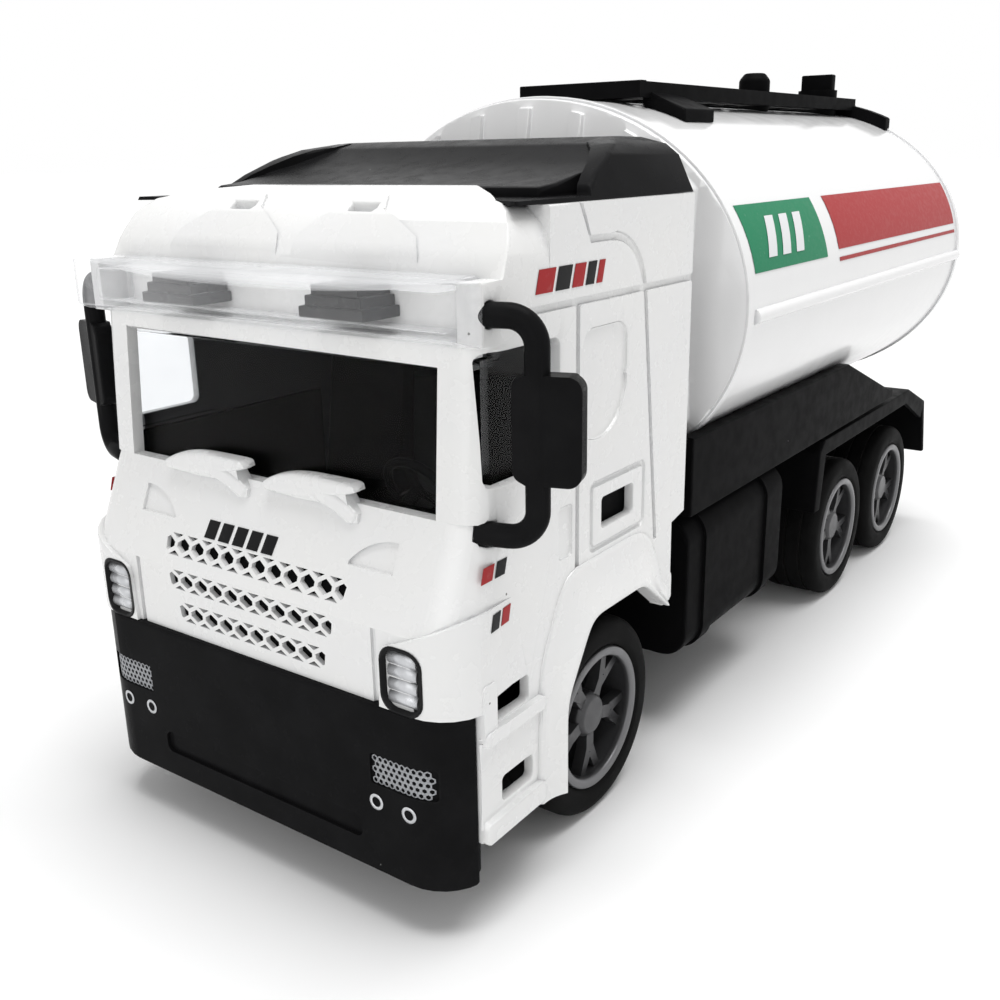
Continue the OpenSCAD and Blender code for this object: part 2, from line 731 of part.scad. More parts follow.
// Dark tub with the dashboard, side walls, two seats and the steering wheel
module cab_interior() {
    tub_y = inner_y - seat_clear;
    back_d = cab_post_d - post_r - 0.8;
    front_d = nose_d + cab_wall + 0.1 + seat_clear;
    wall_top_z = window_low_z - 1.6;
    wall_front_d = nose_d + nose_r + 2.8;
    dash_d = window_front_d + 7.6;
    color("dimgray") {
        across(-screen_w / 2 + 0.3, screen_w / 2 - 0.3)
            polygon([[front_d, frame_top_z + 4], [front_d, nose_break_z], [front_d + 2.6, dash_z - 2.6],
                [front_d + 4.2, dash_z - 0.6], [dash_d - 1.6, dash_z - 0.2], [dash_d, dash_z - 2.4],
                [dash_d, cab_floor_z + 2], [dash_d + 0.8, cab_floor_z], [dash_d - 5.6, frame_top_z + 4]]);
        across(-grille_y + seat_clear, grille_y - seat_clear)
            grille_pad(seat_clear);
        across(-tub_y, tub_y)
            span([wall_front_d, cab_floor_z], [back_d, cab_floor_z + cab_floor_t]);
        both_sides() {
            across(tub_y - 1, tub_y)
                span([wall_front_d, cab_floor_z], [back_d, wall_top_z]);
            across(4.4, 15.6) {
                soft_span([door_back_d + 1, cab_floor_z + 0.5], [door_back_d + 10, cab_floor_z + 6.4], 1);
                polygon([[door_back_d + 8, cab_floor_z + 4], [door_back_d + 10.4, cab_floor_z + 20],
                    [door_back_d + 12.4, cab_floor_z + 20], [door_back_d + 11.4, cab_floor_z + 4]]);
            }
        }
        steering_wheel();
    }
}

// Side view of the visor's skin, drawn in by t
module visor_profile(t) {
    back = visor_back_d - seat_clear + t;
    low = visor_low_z + seat_clear + t;
    polygon([[2 + t, visor_low_z + 1.1 + t / 2], [2 + t, visor_top_z - 1.2 - t / 3],
        [3.2 + t / 2, visor_top_z - t], [back, visor_top_z - t], [back, low], [screen_top_d - 0.6, low]]);
}

// Plan of the visor, drawn in by t, with its bowed front and round ends
module visor_plan(t) {
    end_y = half_w + 0.4 - t;
    r = 1.8;
    end_d = max(cheek_d - seat_clear, 3 + t + r);
    front = concat([for (i = [-9:9]) [ax(2 + t + 0.9 * pow(i / 10, 2)), i / 10 * (end_y - r)]],
        arc(ax(2.9 + t + r), end_y - r, r, 0, 90, 5));
    polygon(concat(front, [[ax(end_d), end_y], [ax(end_d), cheek_y - seat_clear],
        [ax(visor_back_d + t), cheek_y - seat_clear], [ax(visor_back_d + t), -cheek_y + seat_clear],
        [ax(end_d), -cheek_y + seat_clear], [ax(end_d), -end_y]],
        arc(ax(2.9 + t + r), -(end_y - r), r, -90, 0, 5)));
}

module visor_solid(t) {
    intersection() {
        across(-half_w - 1, half_w + 1)
            visor_profile(t);
        translate([0, 0, visor_low_z - 2])
            linear_extrude(10)
                visor_plan(t);
    }
}

module sun_visor_bar() {
    color("aliceblue", 0.6)
        difference() {
            visor_solid(0);
            intersection() {
                visor_solid(0.9);
                across(-cheek_y + 1, cheek_y - 1)
                    span([0, 0], [visor_back_d + 1, 80]);
            }
        }
}

// Stepped lamp blocks that stand behind the visor's clear skin
module visor_lamps() {
    color("slategray")
        for (s = [-1, 1])
            for (i = [0:2])
                along(4 - 0.3 * (2 - i), visor_back_d - seat_clear)
                    translate([s * 10.6, visor_low_z + 1.5])
                        span([-3.7 + 0.5 * i, 0], [3.7 - 0.5 * i, 1 + 0.9 * i]);
}

// Front view outline that the deflector is cut to, with sloped sides and round shoulders
module spoiler_outline() {
    top = roof_z + 5.7;
    right = [[half_w - 0.7, roof_z + seat_clear], [half_w - 2.5, top - 2], [half_w - 4, top - 0.9],
        [half_w - 6.5, top - 0.2], [half_w - 10, top]];
    polygon(concat(right, [for (i = [4:-1:0]) [-right[i][0], right[i][1]]]));
}

// Air deflector on the roof: sloped middle, two curved fins and a flat flange in front of each fin
module roof_spoiler() {
    z0 = roof_z + seat_clear;
    front_d = visor_back_d + 11.2 + seat_clear;
    back_d = cab_back_d + spoiler_over;
    tip_d = front_d + 4;
    ramp = [[front_d, z0], [front_d, z0 + 1.2], [tip_d - 1, z0 + 1.5], [tip_d + 3, z0 + 2.2],
        [tip_d + 7, z0 + 3.3], [tip_d + 11, z0 + 4.9], [tip_d + 14, z0 + 5.5], [back_d - 1, z0 + 5.6],
        [back_d, z0 + 4.9], [back_d, z0]];
    fin = [[tip_d, z0], [tip_d, z0 + 1.2], [tip_d + 1.8, z0 + 2.2], [tip_d + 4, z0 + 3.1],
        [tip_d + 6.5, z0 + 4.1], [tip_d + 9, z0 + 4.8], [tip_d + 13, z0 + 5.4], [back_d - 1, z0 + 5.5],
        [back_d, z0 + 4.8], [back_d, z0]];
    color([0.06, 0.06, 0.07])
        intersection() {
            union() {
                across(-half_w + 4, half_w - 4)
                    polygon(ramp);
                both_sides() {
                    translate([0, 0, z0])
                        linear_extrude(0.35)
                            crest_side(seat_clear);
                    intersection() {
                        across(0, half_w)
                            polygon(fin);
                        linear_extrude(big)
                            polygon([[ax(tip_d), half_w - 2.6], [ax(tip_d + 4), half_w - 4],
                                [ax(tip_d + 8), half_w - 6], [ax(tip_d + 10.5), half_w - 8],
                                [ax(back_d), half_w - 8], [ax(back_d), half_w], [ax(tip_d), half_w]]);
                    }
                }
            }
            along(0, back_d)
                spoiler_outline();
            union() {
                across(-half_w, half_w)
                    span([front_d, 0], [back_d, 200]);
                both_sides()
                    linear_extrude(big)
                        crest_side(seat_clear);
            }
        }
}

// Places a piece at the left mirror's root, turned by the sweep
module at_mirror() {
    translate([ax(mirror_d), half_w, 0])
        rotate(mirror_sweep)
            children();
}

// Mirror on its bowed tube arm, both ends plugged into the cab's side
module mirror_arm() {
    bend_r = 2.4;
    head_y = arm_out + 0.9;
    mid_z = (mirror_top_z + mirror_low_z) / 2 + 0.1;
    at_mirror() {
        for (end = [[mirror_top_z, 1], [mirror_low_z, -1]]) {
            translate([0, -stub_l, end[0]])
                rotate([-90, 0, 0])
                    cylinder(r = arm_r, h = arm_out - bend_r + stub_l);
            translate([0, arm_out - bend_r, end[0] - end[1] * bend_r])
                intersection() {
                    rotate([0, 90, 0])
                        rotate_extrude()
                            translate([bend_r, 0])
                                circle(arm_r);
                    translate([-2 * bend_r, 0, end[1] > 0 ? 0 : -4 * bend_r])
                        cube(4 * bend_r);
                }
        }
        translate([0, arm_out, mirror_low_z + bend_r])
            cylinder(r = arm_r, h = mirror_top_z - mirror_low_z - 2 * bend_r);
        translate([-1.15, 0, 0])
            rotate([90, 0, 90])
                linear_extrude(2)
                    soft_span([head_y - mirror_w / 2, mid_z - mirror_h / 2],
                        [head_y + mirror_w / 2, mid_z + mirror_h / 2], 1.2);
    }
}

module mirror_left() {
    color([0.06, 0.06, 0.07])
        mirror_arm();
}

module mirror_right() {
    color([0.06, 0.06, 0.07])
        mirror([0, 1, 0])
            mirror_arm();
}

// Plan of the bumper, with its skin drawn in by t
module bumper_plan(t) {
    r = 5.4;
    wrap_d = step_front_d - seat_clear;
    wrap_y = inner_y - 0.1;
    turn = acos((r - wrap_d) / (r - t));
    polygon(concat(arc(ax(r), half_w - r, r - t, 0, turn), [[ax(wrap_d), wrap_y],
        [ax(bumper_l), wrap_y], [ax(bumper_l), -wrap_y], [ax(wrap_d), -wrap_y]],
        arc(ax(r), r - half_w, r - t, -turn, 0)));
}

// Bumper shell that wraps round the nose's foot, with sunk lamp fields and an air slot
module front_bumper() {
    top_z = nose_low_z - seat_clear;
    color([0.06, 0.06, 0.07])
        difference() {
            translate([0, 0, bumper_low_z])
                linear_extrude(top_z - bumper_low_z)
                    bumper_plan(0);
            along(2.2, bumper_l + 1)
                span([-half_w + 6, bumper_low_z + 2], [half_w - 6, top_z - 2]);
            both_sides()
                difference() {
                    along(-1, 5)
                        soft_span([half_w - 9.6, bumper_low_z + 9.4],
                            [half_w - 2.4, bumper_low_z + 12.5], 0.4);
                    linear_extrude(60)
                        bumper_plan(0.3);
                }
            along(-1, 0.4)
                soft_span([-half_w + 11, bumper_low_z + 3], [half_w - 11, bumper_low_z + 5.4], 0.8);
        }
}

// Ladder frame with a closed floor, axle bores, screw bosses and the tail bar
module chassis_frame() {
    front_d = bumper_l + seat_clear;
    boss_r = 3.2;
    axles = [front_axle_d, middle_axle_d, rear_axle_d];
    seats = [for (d = [tank_post_front_d, tank_post_back_d]) [d, 0]];
    holes = concat(seats, [[cab_post_d, rail_mid_y], [cab_post_d, -rail_mid_y]]);
    color([0.1, 0.1, 0.1])
        difference() {
            union() {
                both_sides()
                    across(rail_y - rail_w, rail_y)
                        span([front_d, frame_low_z], [tail_d, frame_top_z]);
                across(-rail_y, rail_y)
                    span([front_d, frame_low_z], [tail_d, frame_low_z + floor_t]);
                along(front_d, front_d + 2.4)
                    span([-inner_y + 1.5, frame_low_z], [inner_y - 1.5, frame_top_z]);
                along(front_d + 1, front_d + 6)
                    span([-rail_y, frame_low_z], [rail_y, frame_top_z + 4]);
                for (d = [cab_back_d + 2, guard_front_d - 3.6, rear_axle_d + 9.8])
                    along(d, d + 2)
                        span([-rail_y, frame_low_z], [rail_y, frame_top_z - 2]);
                along(tail_d - 3, tail_d)
                    span([-guard_in_y + seat_clear, frame_low_z + 2], [guard_in_y - seat_clear, frame_top_z]);
                for (p = seats)
                    translate([ax(p[0]), p[1], frame_low_z])
                        cylinder(r = boss_r, h = rail_h);
            }
            for (d = axles)
                translate([ax(d), 0, tyre_r])
                    rotate([90, 0, 0])
                        cylinder(r = axle_r + axle_clear, h = frame_w + 2, center = true);
            for (p = holes)
                translate([ax(p[0]), p[1], frame_low_z - 1]) {
                    cylinder(r = screw_hole_r, h = rail_h + 2);
                    cylinder(r = screw_head_r + 0.15, h = screw_head_h + 1.2);
                }
            both_sides()
                for (y = [4, 9])
                    translate([ax(tail_d), y, frame_low_z + 6.4])
                        rotate([0, 90, 0])
                            cylinder(r = 1.7, h = 0.8, center = true);
        }
}

// Screw with a pan head, standing head down at the frame's underside
module screw(p) {
    translate([ax(p[0]), p[1], frame_low_z + 0.2]) {
        cylinder(r = screw_head_r, h = screw_head_h - 0.2);
        cylinder(r = pilot_r - 0.02, h = rail_h - 0.2 + screw_grip);
    }
}

module cab_screws() {
    color("silver")
        for (s = [-1, 1])
            screw([cab_post_d, s * rail_mid_y]);
}

module tank_screws() {
    color("silver")
        for (d = [tank_post_front_d, tank_post_back_d])
            screw([d, 0]);
}

// Rounded fuel tank with two straps, on the outside of a rail
module fuel_tank() {
    front_d = fuel_front_d;
    low_z = frame_low_z + 1.5;
    high_z = cradle_top_z - 10.1;
    in_y = rail_y + seat_clear;
    out_y = half_w - 1.6;
    r = 3.4;
    along(front_d, front_d + fuel_l) {
        soft_span([in_y, low_z], [out_y, high_z], r);
        span([in_y, low_z], [out_y - r, high_z]);
    }
    for (d = [front_d + 4, front_d + fuel_l - 6.4])
        along(d, d + 2.4) {
            soft_span([in_y, low_z - 0.4], [out_y + 0.4, high_z + 0.4], r + 0.4);
            span([in_y, low_z - 0.4], [out_y - r, high_z + 0.4]);
        }
    translate([ax(front_d + fuel_l / 2), out_y - 5, high_z - eps])
        cylinder(r = 1.8, h = 0.5);
}

module fuel_tank_left() {
    color([0.16, 0.16, 0.17])
        fuel_tank();
}

module fuel_tank_right() {
    color([0.16, 0.16, 0.17])
        mirror([0, 1, 0])
            fuel_tank();
}

// Saddle between frame and tank: floor, cross ribs and side skirts cut to the tank's oval
module tank_cradle() {
    low_z = frame_top_z + seat_clear;
    skirt_low_z = cradle_top_z - 9.4;
    skirt_y = half_w - 1;
    slope_d = middle_axle_d - 3;
    rib_gap = (cradle_back_d - cradle_front_d - 1.6) / 5;
    color([0.1, 0.1, 0.1])
        difference() {
            union() {
                across(-rail_y, rail_y)
                    span([cradle_front_d, low_z], [cradle_back_d, low_z + 1.4]);
                for (i = [0:5])
                    along(cradle_front_d + i * rib_gap, cradle_front_d + i * rib_gap + 1.6)
                        polygon([[-rail_y, low_z], [rail_y, low_z], [rail_y, skirt_low_z],
                            [skirt_y, skirt_low_z], [skirt_y, cradle_top_z - 8], [-skirt_y, cradle_top_z - 8],
                            [-skirt_y, skirt_low_z], [-rail_y, skirt_low_z]]);
                both_sides()
                    across(skirt_y - 1.6, skirt_y)
                        polygon([[cradle_front_d, skirt_low_z], [cradle_front_d, cradle_top_z],
                            [slope_d, cradle_top_z], [cradle_back_d, skirt_low_z + 1],
                            [cradle_back_d, skirt_low_z]]);
                for (i = [0:3])
                    along(cradle_front_d + i * rib_gap, cradle_front_d + i * rib_gap + 1.6)
                        polygon([[-skirt_y, skirt_low_z], [skirt_y, skirt_low_z], [skirt_y, cradle_top_z],
                            [-skirt_y, cradle_top_z]]);
            }
            tank_space();
            both_sides()
                across(guard_in_y - seat_clear, half_w + 1)
                    span([guard_front_d - seat_clear, 0], [tail_d + 1, guard_top_z + seat_clear]);
            for (d = [tank_post_front_d, tank_post_back_d])
                translate([ax(d), 0, low_z - 1])
                    cylinder(r = post_r + 0.4 + seat_clear, h = 20);
        }
}

// Guard over the two rear wheels, with its flap at the tail
module mudguard() {
    t = guard_t;
    foot_z = guard_top_z - 10.6;
    flap_z = guard_top_z - 14.2;
    bend_d = tail_d - 3;
    front = [[guard_front_d, foot_z], [guard_front_d + 0.8, guard_top_z - 1.6],
        [guard_front_d + 2.6, guard_top_z], [rear_axle_d + 6, guard_top_z], [bend_d, guard_top_z - 4]];
    inner = [[tail_d - t, flap_z], [bend_d - t, guard_top_z - 4 - t * 0.8],
        [rear_axle_d + 5.6, guard_top_z - t], [guard_front_d + 3, guard_top_z - t],
        [guard_front_d + 2, guard_top_z - 2], [guard_front_d + t, foot_z]];
    across(guard_in_y, guard_out_y)
        polygon(concat(front, [[tail_d, flap_z]], inner));
    across(guard_out_y - 0.9, guard_out_y)
        polygon(concat(front, [[bend_d - 1.6, guard_top_z - 7], [rear_axle_d + 5, guard_top_z - 2.4],
            [guard_front_d + 3.4, guard_top_z - 2.4], [guard_front_d + 2.2, foot_z]]));
}

module mudguard_left() {
    color([0.1, 0.1, 0.1])
        mudguard();
}

module mudguard_right() {
    color([0.1, 0.1, 0.1])
        mirror([0, 1, 0])
            mudguard();
}

// Space that the tank and its end rims fill
module tank_space() {
    along(0, tail_d)
        polygon(oval(seat_clear));
    for (d = [tank_front_d, tank_back_d - rim_band])
        along(d - seat_clear, d + rim_band + seat_clear)
            polygon(oval(rim_rise + seat_clear));
}

// Oval tank skin with a bead along each side, end rims and two screw posts
module tank_barrel() {
    bead_r = 0.9;
    color("white") {
        along(tank_front_d, tank_back_d)
            difference() {
                polygon(oval());
                polygon(oval(-tank_wall));
            }
        both_sides()
            translate([ax(tank_back_d - 0.6), tank_w / 2 - 0.2, tank_mid_z - 0.9])
                rotate([0, 90, 0])
                    cylinder(r = bead_r, h = barrel_l - 3);
        for (d = [tank_front_d, tank_back_d - rim_band])
            along(d, d + rim_band)
                difference() {
                    polygon(oval(rim_rise));
                    polygon(oval(-tank_wall));
                }
        for (d = [tank_post_front_d, tank_post_back_d])
            translate([ax(d), 0, frame_top_z])
                difference() {
                    cylinder(r = post_r + 0.4, h = tank_low_z - frame_top_z + tank_wall / 2);
                    translate([0, 0, -1])
                        cylinder(r = pilot_r, h = screw_grip + 1.2);
                }
    }
}

// Radius of the dome that rises by h over the tank's half width
function dome_r(h) = (pow(tank_w / 2, 2) + h * h) / (2 * h);

// Ring that plugs an end of the barrel
module plug_ring(d0, d1) {
    along(d0, d1)
        difference() {
            polygon(oval(-tank_wall - seat_clear));
            polygon(oval(-2 * tank_wall - seat_clear));
        }
}

// Dished front head with upright ribs
module tank_front_head() {
    r = dome_r(front_bulge);
    apex_d = tank_front_d - front_bulge - seat_clear;
    rib_gap = tank_w * 0.75 / (head_ribs - 1);
    color([0.9, 0.9, 0.9]) {
        intersection() {
            along(apex_d - 1, tank_front_d - seat_clear)
                polygon(oval());
            translate([ax(apex_d) - r, 0, tank_mid_z])
                sphere(r, $fn = 360);
        }
        intersection() {
            along(apex_d - 2, tank_front_d - seat_clear)
                intersection() {
                    polygon(oval(-1));
                    for (i = [0:head_ribs - 1])
                        translate([(i - (head_ribs - 1) / 2) * rib_gap - 0.8, 0])
                            square([1.6, 2 * tank_mid_z]);
                }
            translate([ax(apex_d) - r, 0, tank_mid_z])
                sphere(r + 0.7, $fn = 360);
        }
        plug_ring(tank_front_d - seat_clear - eps, tank_front_d + 3);
    }
}

// Smooth domed rear head
module tank_rear_head() {
    r = dome_r(rear_bulge);
    apex_d = tank_back_d + rear_bulge + seat_clear;
    color("white") {
        intersection() {
            along(tank_back_d + seat_clear, apex_d + 1)
                polygon(oval());
            translate([ax(apex_d) + r, 0, tank_mid_z])
                sphere(r, $fn = 360);
        }
        plug_ring(tank_back_d - 3, tank_back_d + seat_clear + eps);
    }
}

// Walkway on top of the tank: slotted plate, side rails, feet and a hoop at the rear
module catwalk() {
    plate_z = tank_top_z + 0.15;
    plate_t = 0.65;
    rail_z = tank_top_z + 0.6;
    slot_l = 5;
    slot_gap = 6.6;
    slots = floor((catwalk_l - 8) / slot_gap);
    color([0.1, 0.1, 0.1])
        difference() {
            union() {
                across(-catwalk_y, catwalk_y)
                    span([catwalk_front_d, plate_z], [catwalk_back_d, plate_z + plate_t]);
                both_sides() {
                    across(catwalk_y - catwalk_bar / 2, catwalk_y + catwalk_bar / 2)
                        span([catwalk_front_d, plate_z], [catwalk_back_d, rail_z + catwalk_bar]);
                    along(catwalk_front_d + 2, catwalk_front_d + 10)
                        translate([catwalk_y, plate_z])
                            polygon([[-0.4, 0.5], [-0.4, -3], [5.4, -4], [5.4, -1.4], [0.6, 0.5]]);
                }
                across(-catwalk_y - catwalk_bar / 2, catwalk_y + catwalk_bar / 2)
                    span([catwalk_front_d - 0.8, plate_z],
                        [catwalk_front_d + 0.8, rail_z + catwalk_bar + 0.1]);
                along(catwalk_back_d - 1.2, catwalk_back_d + 1)
                    intersection() {
                        polygon(oval(1.9));
                        span([-catwalk_y - 6.5, tank_mid_z], [catwalk_y + 6.5, 2 * tank_top_z]);
                    }
            }
            tank_space();
            for (i = [0:slots - 1])
                for (s = [-1, 1])
                    across(s * catwalk_y / 2 - 1.4, s * catwalk_y / 2 + 1.4)
                        span([catwalk_front_d + 5 + i * slot_gap, plate_z - 1],
                            [catwalk_front_d + 5 + i * slot_gap + slot_l, plate_z + 2]);
            for (p = cap_places)
                translate([ax(p[0]), p[1], plate_z - 1])
                    cylinder(r = p[2], h = 8);
        }
}

// Neck that stands on the tank's skin, for a lid
module lid_neck(p, r) {
    difference() {
        translate([ax(p[0]), p[1], tank_top_z - 2])
            cylinder(r = r, h = 4);
        tank_space();
    }
}

module filler_cap() {
    p = cap_places[0];
    color([0.1, 0.1, 0.1]) {
        lid_neck(p, cap_r);
        translate([ax(p[0]), p[1], tank_top_z + 1.9])
            cylinder(r = cap_r, h = 2);
        translate([ax(p[0]), p[1], tank_top_z + 3.9])
            cylinder(r1 = cap_r, r2 = cap_r - 0.8, h = 1);
    }
}

module manhole_lid() {
    p = cap_places[1];
    color([0.1, 0.1, 0.1]) {
        lid_neck(p, lid_r);
        translate([ax(p[0]), p[1], tank_top_z + 1.9])
            cylinder(r = lid_r, h = 1.4);
        translate([ax(p[0]) - 0.9, p[1] - lid_r + 0.5, tank_top_z + 3.2])
            cube([1.8, 2 * lid_r - 1, 2.6]);
    }
}

// Steel axle that runs in the frame's bores
module axle(d) {
    color("silver")
        translate([ax(d), 0, tyre_r])
            rotate([90, 0, 0])
                cylinder(r = axle_r, h = 2 * (wheel_face_y - 3), center = true);
}

// Places a wheel piece, drawn with its outer face up, on the left or right end of an axle
module at_wheel(d, side) {
    translate([ax(d), side * wheel_face_y, tyre_r])
        rotate([-90 * side, 0, 0])
            children();
}

// Two-dimensional forked spoke, pointing along +X
module fork() {
    root = hub_r - 0.4;
    split = rim_r * 0.52;
    tip = rim_r - 0.6;
    spread = 0.42 * rim_r;
    translate([root, -0.7])
        square([split - root + 0.4, 1.4]);
    for (s = [-1, 1])
        polygon([[split - 0.2, s * 0.7], [split + 0.7, -s * 0.15],
            [tip, s * (spread / 2 - 0.5)], [tip, s * (spread / 2 + 0.5)]]);
}

// Rim with a bright lip, an open barrel, forked spokes and a hub pressed on the axle
module rim() {
    depth = wheel_face_y - rail_y - wheel_clear;
    color("silver")
        difference() {
            union() {
                rotate_extrude()
                    polygon([[rim_r - 1.1, -0.3], [rim_r - 0.8, 0], [rim_r - 0.2, 0], [rim_r, -0.2],
                        [rim_r, -tyre_w], [rim_r - 0.9, -tyre_w], [rim_r - 0.9, -1.2]]);
                translate([0, 0, -2.6])
                    linear_extrude(1.3)
                        for (i = [0:spoke_count - 1])
                            rotate(90 + 360 * i / spoke_count)
                                fork();
                translate([0, 0, -tyre_w + 1])
                    linear_extrude(1.2)
                        difference() {
                            circle(rim_r - 0.5);
                            circle(hub_r - 0.5);
                        }
                rotate_extrude()
                    polygon([[0, -depth], [hub_r, -depth], [hub_r, -1.6], [hub_r - 0.5, -0.9], [0, -0.9]]);
            }
            translate([0, 0, -depth - 1])
                cylinder(r = axle_r + 0.02, h = depth - 2);
        }
}

// Tyre with round shoulders and three tread grooves
module tyre() {
    r_in = rim_r + 0.02;
    shoulder = 1.3;
    low = -tyre_w;
    groove = 0.5;
    tread = [for (i = [0:2]) let (z = low + tyre_w * (i + 1) / 4)
        each [[tyre_r, z - groove / 2], [tyre_r - 0.4, z - groove / 2], [tyre_r - 0.4, z + groove / 2],
            [tyre_r, z + groove / 2]]];
    color([0.08, 0.08, 0.08])
        rotate_extrude($fn = 96)
            polygon(concat([[r_in, low]], arc(tyre_r - shoulder, low + shoulder, shoulder, -90, 0, 4), tread,
                arc(tyre_r - shoulder, -shoulder, shoulder, 0, 90, 4), [[r_in + 0.6, 0], [r_in, -0.4]]));
}

module front_axle() {
    axle(front_axle_d);
}

module middle_axle() {
    axle(middle_axle_d);
}

module rear_axle() {
    axle(rear_axle_d);
}

cab_shell();
cab_glazing();
cab_interior();
sun_visor_bar();
visor_lamps();
roof_spoiler();
mirror_left();
mirror_right();
front_bumper();
chassis_frame();
cab_screws();
tank_screws();
fuel_tank_left();
fuel_tank_right();
tank_cradle();
mudguard_left();
mudguard_right();
tank_barrel();
tank_front_head();
tank_rear_head();
catwalk();
filler_cap();
manhole_lid();
front_axle();
middle_axle();
rear_axle();
at_wheel(front_axle_d, 1) rim();  // front_left_rim
at_wheel(front_axle_d, -1) rim();  // front_right_rim
at_wheel(middle_axle_d, 1) rim();  // middle_left_rim
at_wheel(middle_axle_d, -1) rim();  // middle_right_rim
at_wheel(rear_axle_d, 1) rim();  // rear_left_rim
at_wheel(rear_axle_d, -1) rim();  // rear_right_rim
at_wheel(front_axle_d, 1) tyre();  // front_left_tyre
at_wheel(front_axle_d, -1) tyre();  // front_right_tyre
at_wheel(middle_axle_d, 1) tyre();  // middle_left_tyre
at_wheel(middle_axle_d, -1) tyre();  // middle_right_tyre
at_wheel(rear_axle_d, 1) tyre();  // rear_left_tyre
at_wheel(rear_axle_d, -1) tyre();  // rear_right_tyre
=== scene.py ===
"""Looks of a toy tanker truck: soft cast edges, paint, plastic, clear and rubber finishes, printed trim."""
import json
import math

import bmesh
import bpy
import numpy as np
from mathutils import Matrix, Vector

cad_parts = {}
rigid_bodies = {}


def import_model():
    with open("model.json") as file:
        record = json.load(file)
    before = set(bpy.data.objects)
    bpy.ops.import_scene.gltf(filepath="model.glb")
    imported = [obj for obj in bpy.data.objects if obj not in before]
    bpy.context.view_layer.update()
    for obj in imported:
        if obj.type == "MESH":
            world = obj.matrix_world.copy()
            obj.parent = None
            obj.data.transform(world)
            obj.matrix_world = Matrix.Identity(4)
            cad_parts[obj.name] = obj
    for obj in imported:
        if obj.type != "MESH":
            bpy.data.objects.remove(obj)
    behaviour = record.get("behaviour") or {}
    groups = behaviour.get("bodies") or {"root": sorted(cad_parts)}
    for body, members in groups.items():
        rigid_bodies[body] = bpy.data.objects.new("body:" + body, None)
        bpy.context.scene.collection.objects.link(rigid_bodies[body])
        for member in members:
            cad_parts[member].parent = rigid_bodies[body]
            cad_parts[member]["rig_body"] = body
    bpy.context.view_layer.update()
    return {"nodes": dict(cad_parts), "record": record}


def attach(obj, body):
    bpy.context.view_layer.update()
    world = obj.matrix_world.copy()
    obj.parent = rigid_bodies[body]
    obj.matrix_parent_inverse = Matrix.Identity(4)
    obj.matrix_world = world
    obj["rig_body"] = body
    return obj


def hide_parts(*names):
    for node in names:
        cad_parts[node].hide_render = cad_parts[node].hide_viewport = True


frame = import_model()
NODES = frame["nodes"]
SLOTS = {part["node"]: part["material_slot"] for part in frame["record"]["subparts"]}
CHASSIS = "chassis"

# Sizes in millimetres. A place d lies d behind the foremost point; sideways is positive to the truck's left.
MM = 0.001
MM_PER_M = 1000.0
TAIL_D = 146.0
HALF_W = 25.0
NOSE_D = 0.6
NOSE_LOW_Z = 22.4
NOSE_BREAK_Z = 29.5
NOSE_R = 5.0
SCREEN_LOW_D = 4.6
SCREEN_LOW_Z = 38.9
WHEEL_FACE_Y = 23.4
STEP_LOW_Z = 8.8
TANK_HALF_W = 27.8
TANK_HALF_H = 22.9
TANK_MID_Z = 51.4

# Hollow of the cab, whose walls are painted dark as shade
HOLLOW_HALF_W = 23.95
HOLLOW_FRONT_D = 9.0
HOLLOW_TOP_Z = 56.0

# Lamp pods at the corners of the nose, with their pockets and ribbed lenses; boxes are (y, z) low, then high
POD_PROUD = 0.45
POD_FACE_D = NOSE_D - POD_PROUD
POD_OUT_Y = HALF_W + POD_PROUD
POD_START_D = 4.5
POD_LEAN = 0.5 / 4.9
POCKET_D = 2.5
POCKET_IN_Y = 16.5
POCKET_OUT_Y = 22.5
POCKET_MARGIN = 0.5
LAMP_FLOOR_D = NOSE_D + 0.1
LAMP_BOX = (HALF_W - 7.6, NOSE_LOW_Z + 0.2, HALF_W - 3.6, NOSE_LOW_Z + 5.9)
LAMP_CORNER_R = 1.3
LAMP_LINE_ROWS = ((-0.32, True), (0.03, True), (0.05, False), (0.5, False))
LENS_BOX = (HALF_W - 7.2, NOSE_LOW_Z + 0.45, HALF_W - 4.0, NOSE_LOW_Z + 5.7)
LENS_R = 0.72
LENS_AXIS_D = NOSE_D + 0.5
LENS_BAR_COUNT = 4
LENS_BAR_LOW_Z = NOSE_LOW_Z + 1.2
LENS_BAR_PITCH = 1.25

# Bumper, with its lamp nets and rings
BUMPER_LOW_Z = 5.0
BUMPER_R = 5.4
BUMPER_SKIN = 0.3
NET_IN_Y = HALF_W - 9.5
NET_LOW_Z = BUMPER_LOW_Z + 9.4
RING_YS = (HALF_W - 9.0, HALF_W - 5.2)
RING_Z = 12.6
RING_IN_R = 0.5
RING_OUT_R = 0.8

# Front wheel arch: outline of its edge as (d, z), the way out from each corner, and the flare along it
ARCH_FRONT_D = 16.0
ARCH_BACK_D = 36.5
ARCH_TOP_Z = 25.6
ARCH_CORNERS = ((ARCH_FRONT_D, STEP_LOW_Z), (ARCH_FRONT_D, ARCH_TOP_Z - 7.1), (ARCH_FRONT_D + 4.6, ARCH_TOP_Z),
                (31.1, ARCH_TOP_Z), (ARCH_BACK_D, ARCH_TOP_Z - 4.4))
ARCH_OUTWARD = ((-1, 0), (-0.9, 0.1), (-0.6, 1), (0.3, 1), (0.6, 0.6))
FLARE_W = 5.3
FLARE_SLIMMER_FRONT = 2.0
FLARE_SLIMMER_BACK = 2.75
FLARE_STEPS = 140
FLARE_EASE = 25
# Rows across the flare: share of its width and height off the cab's side, which is the hollow curve's where None
FLARE_ROWS = ((1, -0.1), (1, 0.2), *((tenth / 10, None) for tenth in range(9, 0, -1)), (0.03, 1.38), (0.0, 1.34),
              (-0.02, 1.15), (-0.025, 0.7), (-0.025, -1.2))

